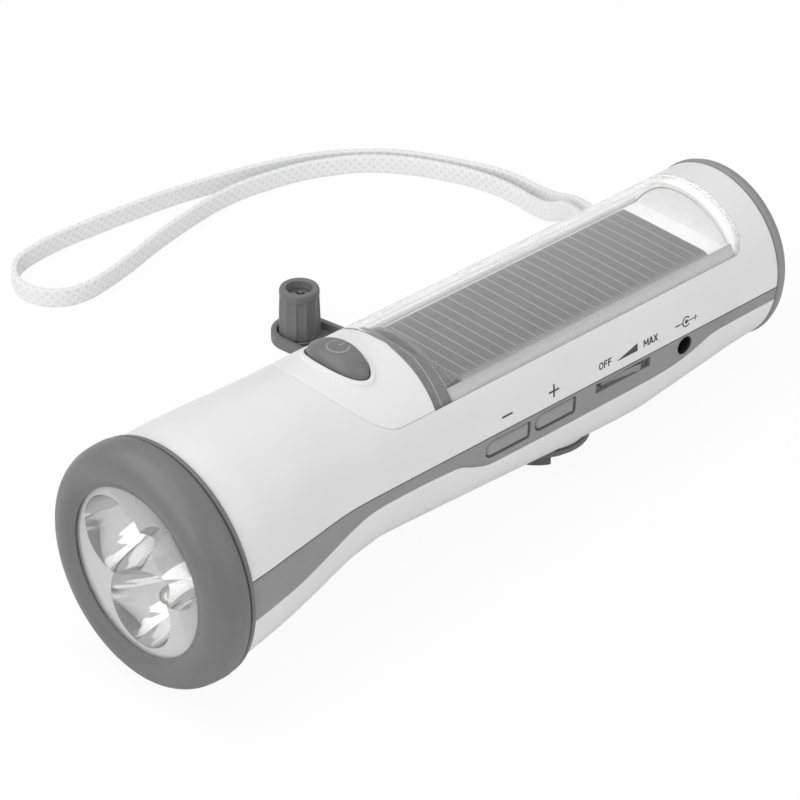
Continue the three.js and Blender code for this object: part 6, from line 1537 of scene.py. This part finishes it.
# %% [markdown]
# ## Pieces inside
# What lies inside is hardly seen, but it is seen when the flashlight is opened or cut. These nodes keep their
# solids, and only take a finish: green circuit board, shrink wrap on the cells, white gears, steel and brass.

# %% Finishes for the kept nodes
green_board = moulded("green_board", (0.03, 0.16, 0.06), (0.02, 0.12, 0.05), (0.25, 0.4), 0.5, 0.004, 6)
cell_wrap = moulded("cell_wrap", (0.02, 0.18, 0.10), (0.02, 0.14, 0.08), (0.2, 0.35), 0.8, 0.004, 9)
gear_white = grey_finish("gear_white", 0.72, 0.66, (0.35, 0.5), 0.4, 0.004, 8)


def tray_material():
    """White tray, printed dark in front of the cell, where one looks past the seam on to its front wall."""
    material, tree, shader, place = new_material("tray_print")
    front = ranged(tree, along_axis(tree, place, "X"), 1, 0, CELL_X, CELL_X + 0.2)
    white = blended(tree, ranged(tree, noise(tree, place, 5, 3), 0, 1), grey(0.76), grey(0.72))
    tone = blended(tree, front, white, grey(0.09))
    wire(shader, {"Base Color": tone, "Roughness": 0.6, "Specular IOR Level": 0.25})
    return material


tray_print = tray_material()
KEPT = {
    "white_shell": white_inner, "grey_rubber": ring_rubber, "grey_trim": side_grey, "dark_grey": crank_grey,
    "clear": clear_lamp, "mirror_coat": mirror_coat, "cell_film": black_part, "green_board": green_board,
    "cell_wrap": cell_wrap, "black_part": black_part, "white_gear": gear_white, "steel": steel,
    "brass": brass, "braid": white_braid,
}
kept = 0
for name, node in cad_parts.items():
    for place in node.material_slots:
        words = place.material.name.lower() if place.material else ""
        key = next((k for k in sorted(KEPT, key=len, reverse=True) if k in words), "black_part")
        place.material = tray_print if name == "cell_tray" else KEPT[key]
        kept += 1
print("slots dressed:", kept)

# %% [markdown]
# ## Floor, light and background
# A pale floor takes the soft shadow. Three large lamps stand round the object like a photographer's soft
# boxes, and the world fills the rest evenly. The camera, looking directly or through clear plastic, sees
# plain white. What mirrors its surroundings sees a world that darkens towards the table's level.

# %% Stage
WHITE, FLOOR_HALF, FLOOR_BELOW, FLOOR_WHITE, WORLD_FILL = (1, 1, 1, 1), 3.0, 0.00002, 0.93, 0.50


def camera_and_rays(tree):
    """One where the camera looks directly or through clear plastic, and all kinds of rays."""
    rays = add_node(tree, "ShaderNodeLightPath").outputs
    return worked(tree, "MAXIMUM", rays["Is Camera Ray"], rays["Is Transmission Ray"]), rays


def glow_through(name, colour):
    """Pale matt floor. The camera sees it mostly as plain white, with a share of its shaded surface."""
    material, tree, shader, place = new_material(name)
    grain = ranged(tree, noise(tree, place, 4.0, 3), 0, 1)
    tone = blended(tree, grain, colour, [0.995 * v for v in colour])
    wire(shader, {"Base Color": tone, "Roughness": 0.9, "Specular IOR Level": 0.0})
    white = add_node(tree, "ShaderNodeEmission", {"Color": WHITE, "Strength": 1.0})
    seen, _ = camera_and_rays(tree)
    shown(tree, mixed(tree, worked(tree, "MULTIPLY", seen, FLOOR_WHITE), shader, white))
    return material


floor_mesh = bpy.data.meshes.new("floor")
corners = at_level(rectangle(-FLOOR_HALF, FLOOR_HALF, -FLOOR_HALF, FLOOR_HALF), float(TABLE_Z) - FLOOR_BELOW)
floor_mesh.from_pydata(corners.tolist(), [], [(0, 1, 2, 3)])
floor_mesh.materials.append(glow_through("pale_floor", grey(0.93)))
linked("floor", floor_mesh)


def soft_lamp(name, place, size, watts):
    """A square lamp of size metres at place, turned to face the middle of the flashlight and its strap."""
    lamp = bpy.data.lights.new(name, "AREA")
    lamp.shape, lamp.size, lamp.energy = "SQUARE", size, watts
    away = Vector(place) - Vector((-0.1, 0.03, 0.0))
    facing = away.to_track_quat("Z", "Y").to_matrix().to_4x4()
    linked(name, lamp).matrix_world = Matrix.Translation(place) @ facing


soft_lamp("over", (-0.35, 0.45, 1.2), 1.3, 7.5)
soft_lamp("left", (-1.3, -0.1, 0.75), 1.2, 6.5)
soft_lamp("front", (0.45, -1.3, 0.6), 1.3, 4.4)

world = bpy.data.worlds.new("studio")
bpy.context.scene.world = world
world.use_nodes = True
sky = world.node_tree
fill = next(n for n in sky.nodes if n.type == "BACKGROUND")
wire(fill, {"Color": WHITE, "Strength": WORLD_FILL})
plain = add_node(sky, "ShaderNodeBackground", {"Color": WHITE, "Strength": 1.0})
direction = add_node(sky, "ShaderNodeTexCoord").outputs["Generated"]
graded = ranged(sky, along_axis(sky, direction, "Z"), 0.3, 1.0, 0.05, 0.5)
mirrored = add_node(sky, "ShaderNodeBackground", {"Color": WHITE, "Strength": graded})
seen, rays = camera_and_rays(sky)
shown(sky, mixed(sky, seen, mixed(sky, rays["Is Glossy Ray"], fill, mirrored), plain))
bpy.context.scene.view_settings.view_transform = "Standard"
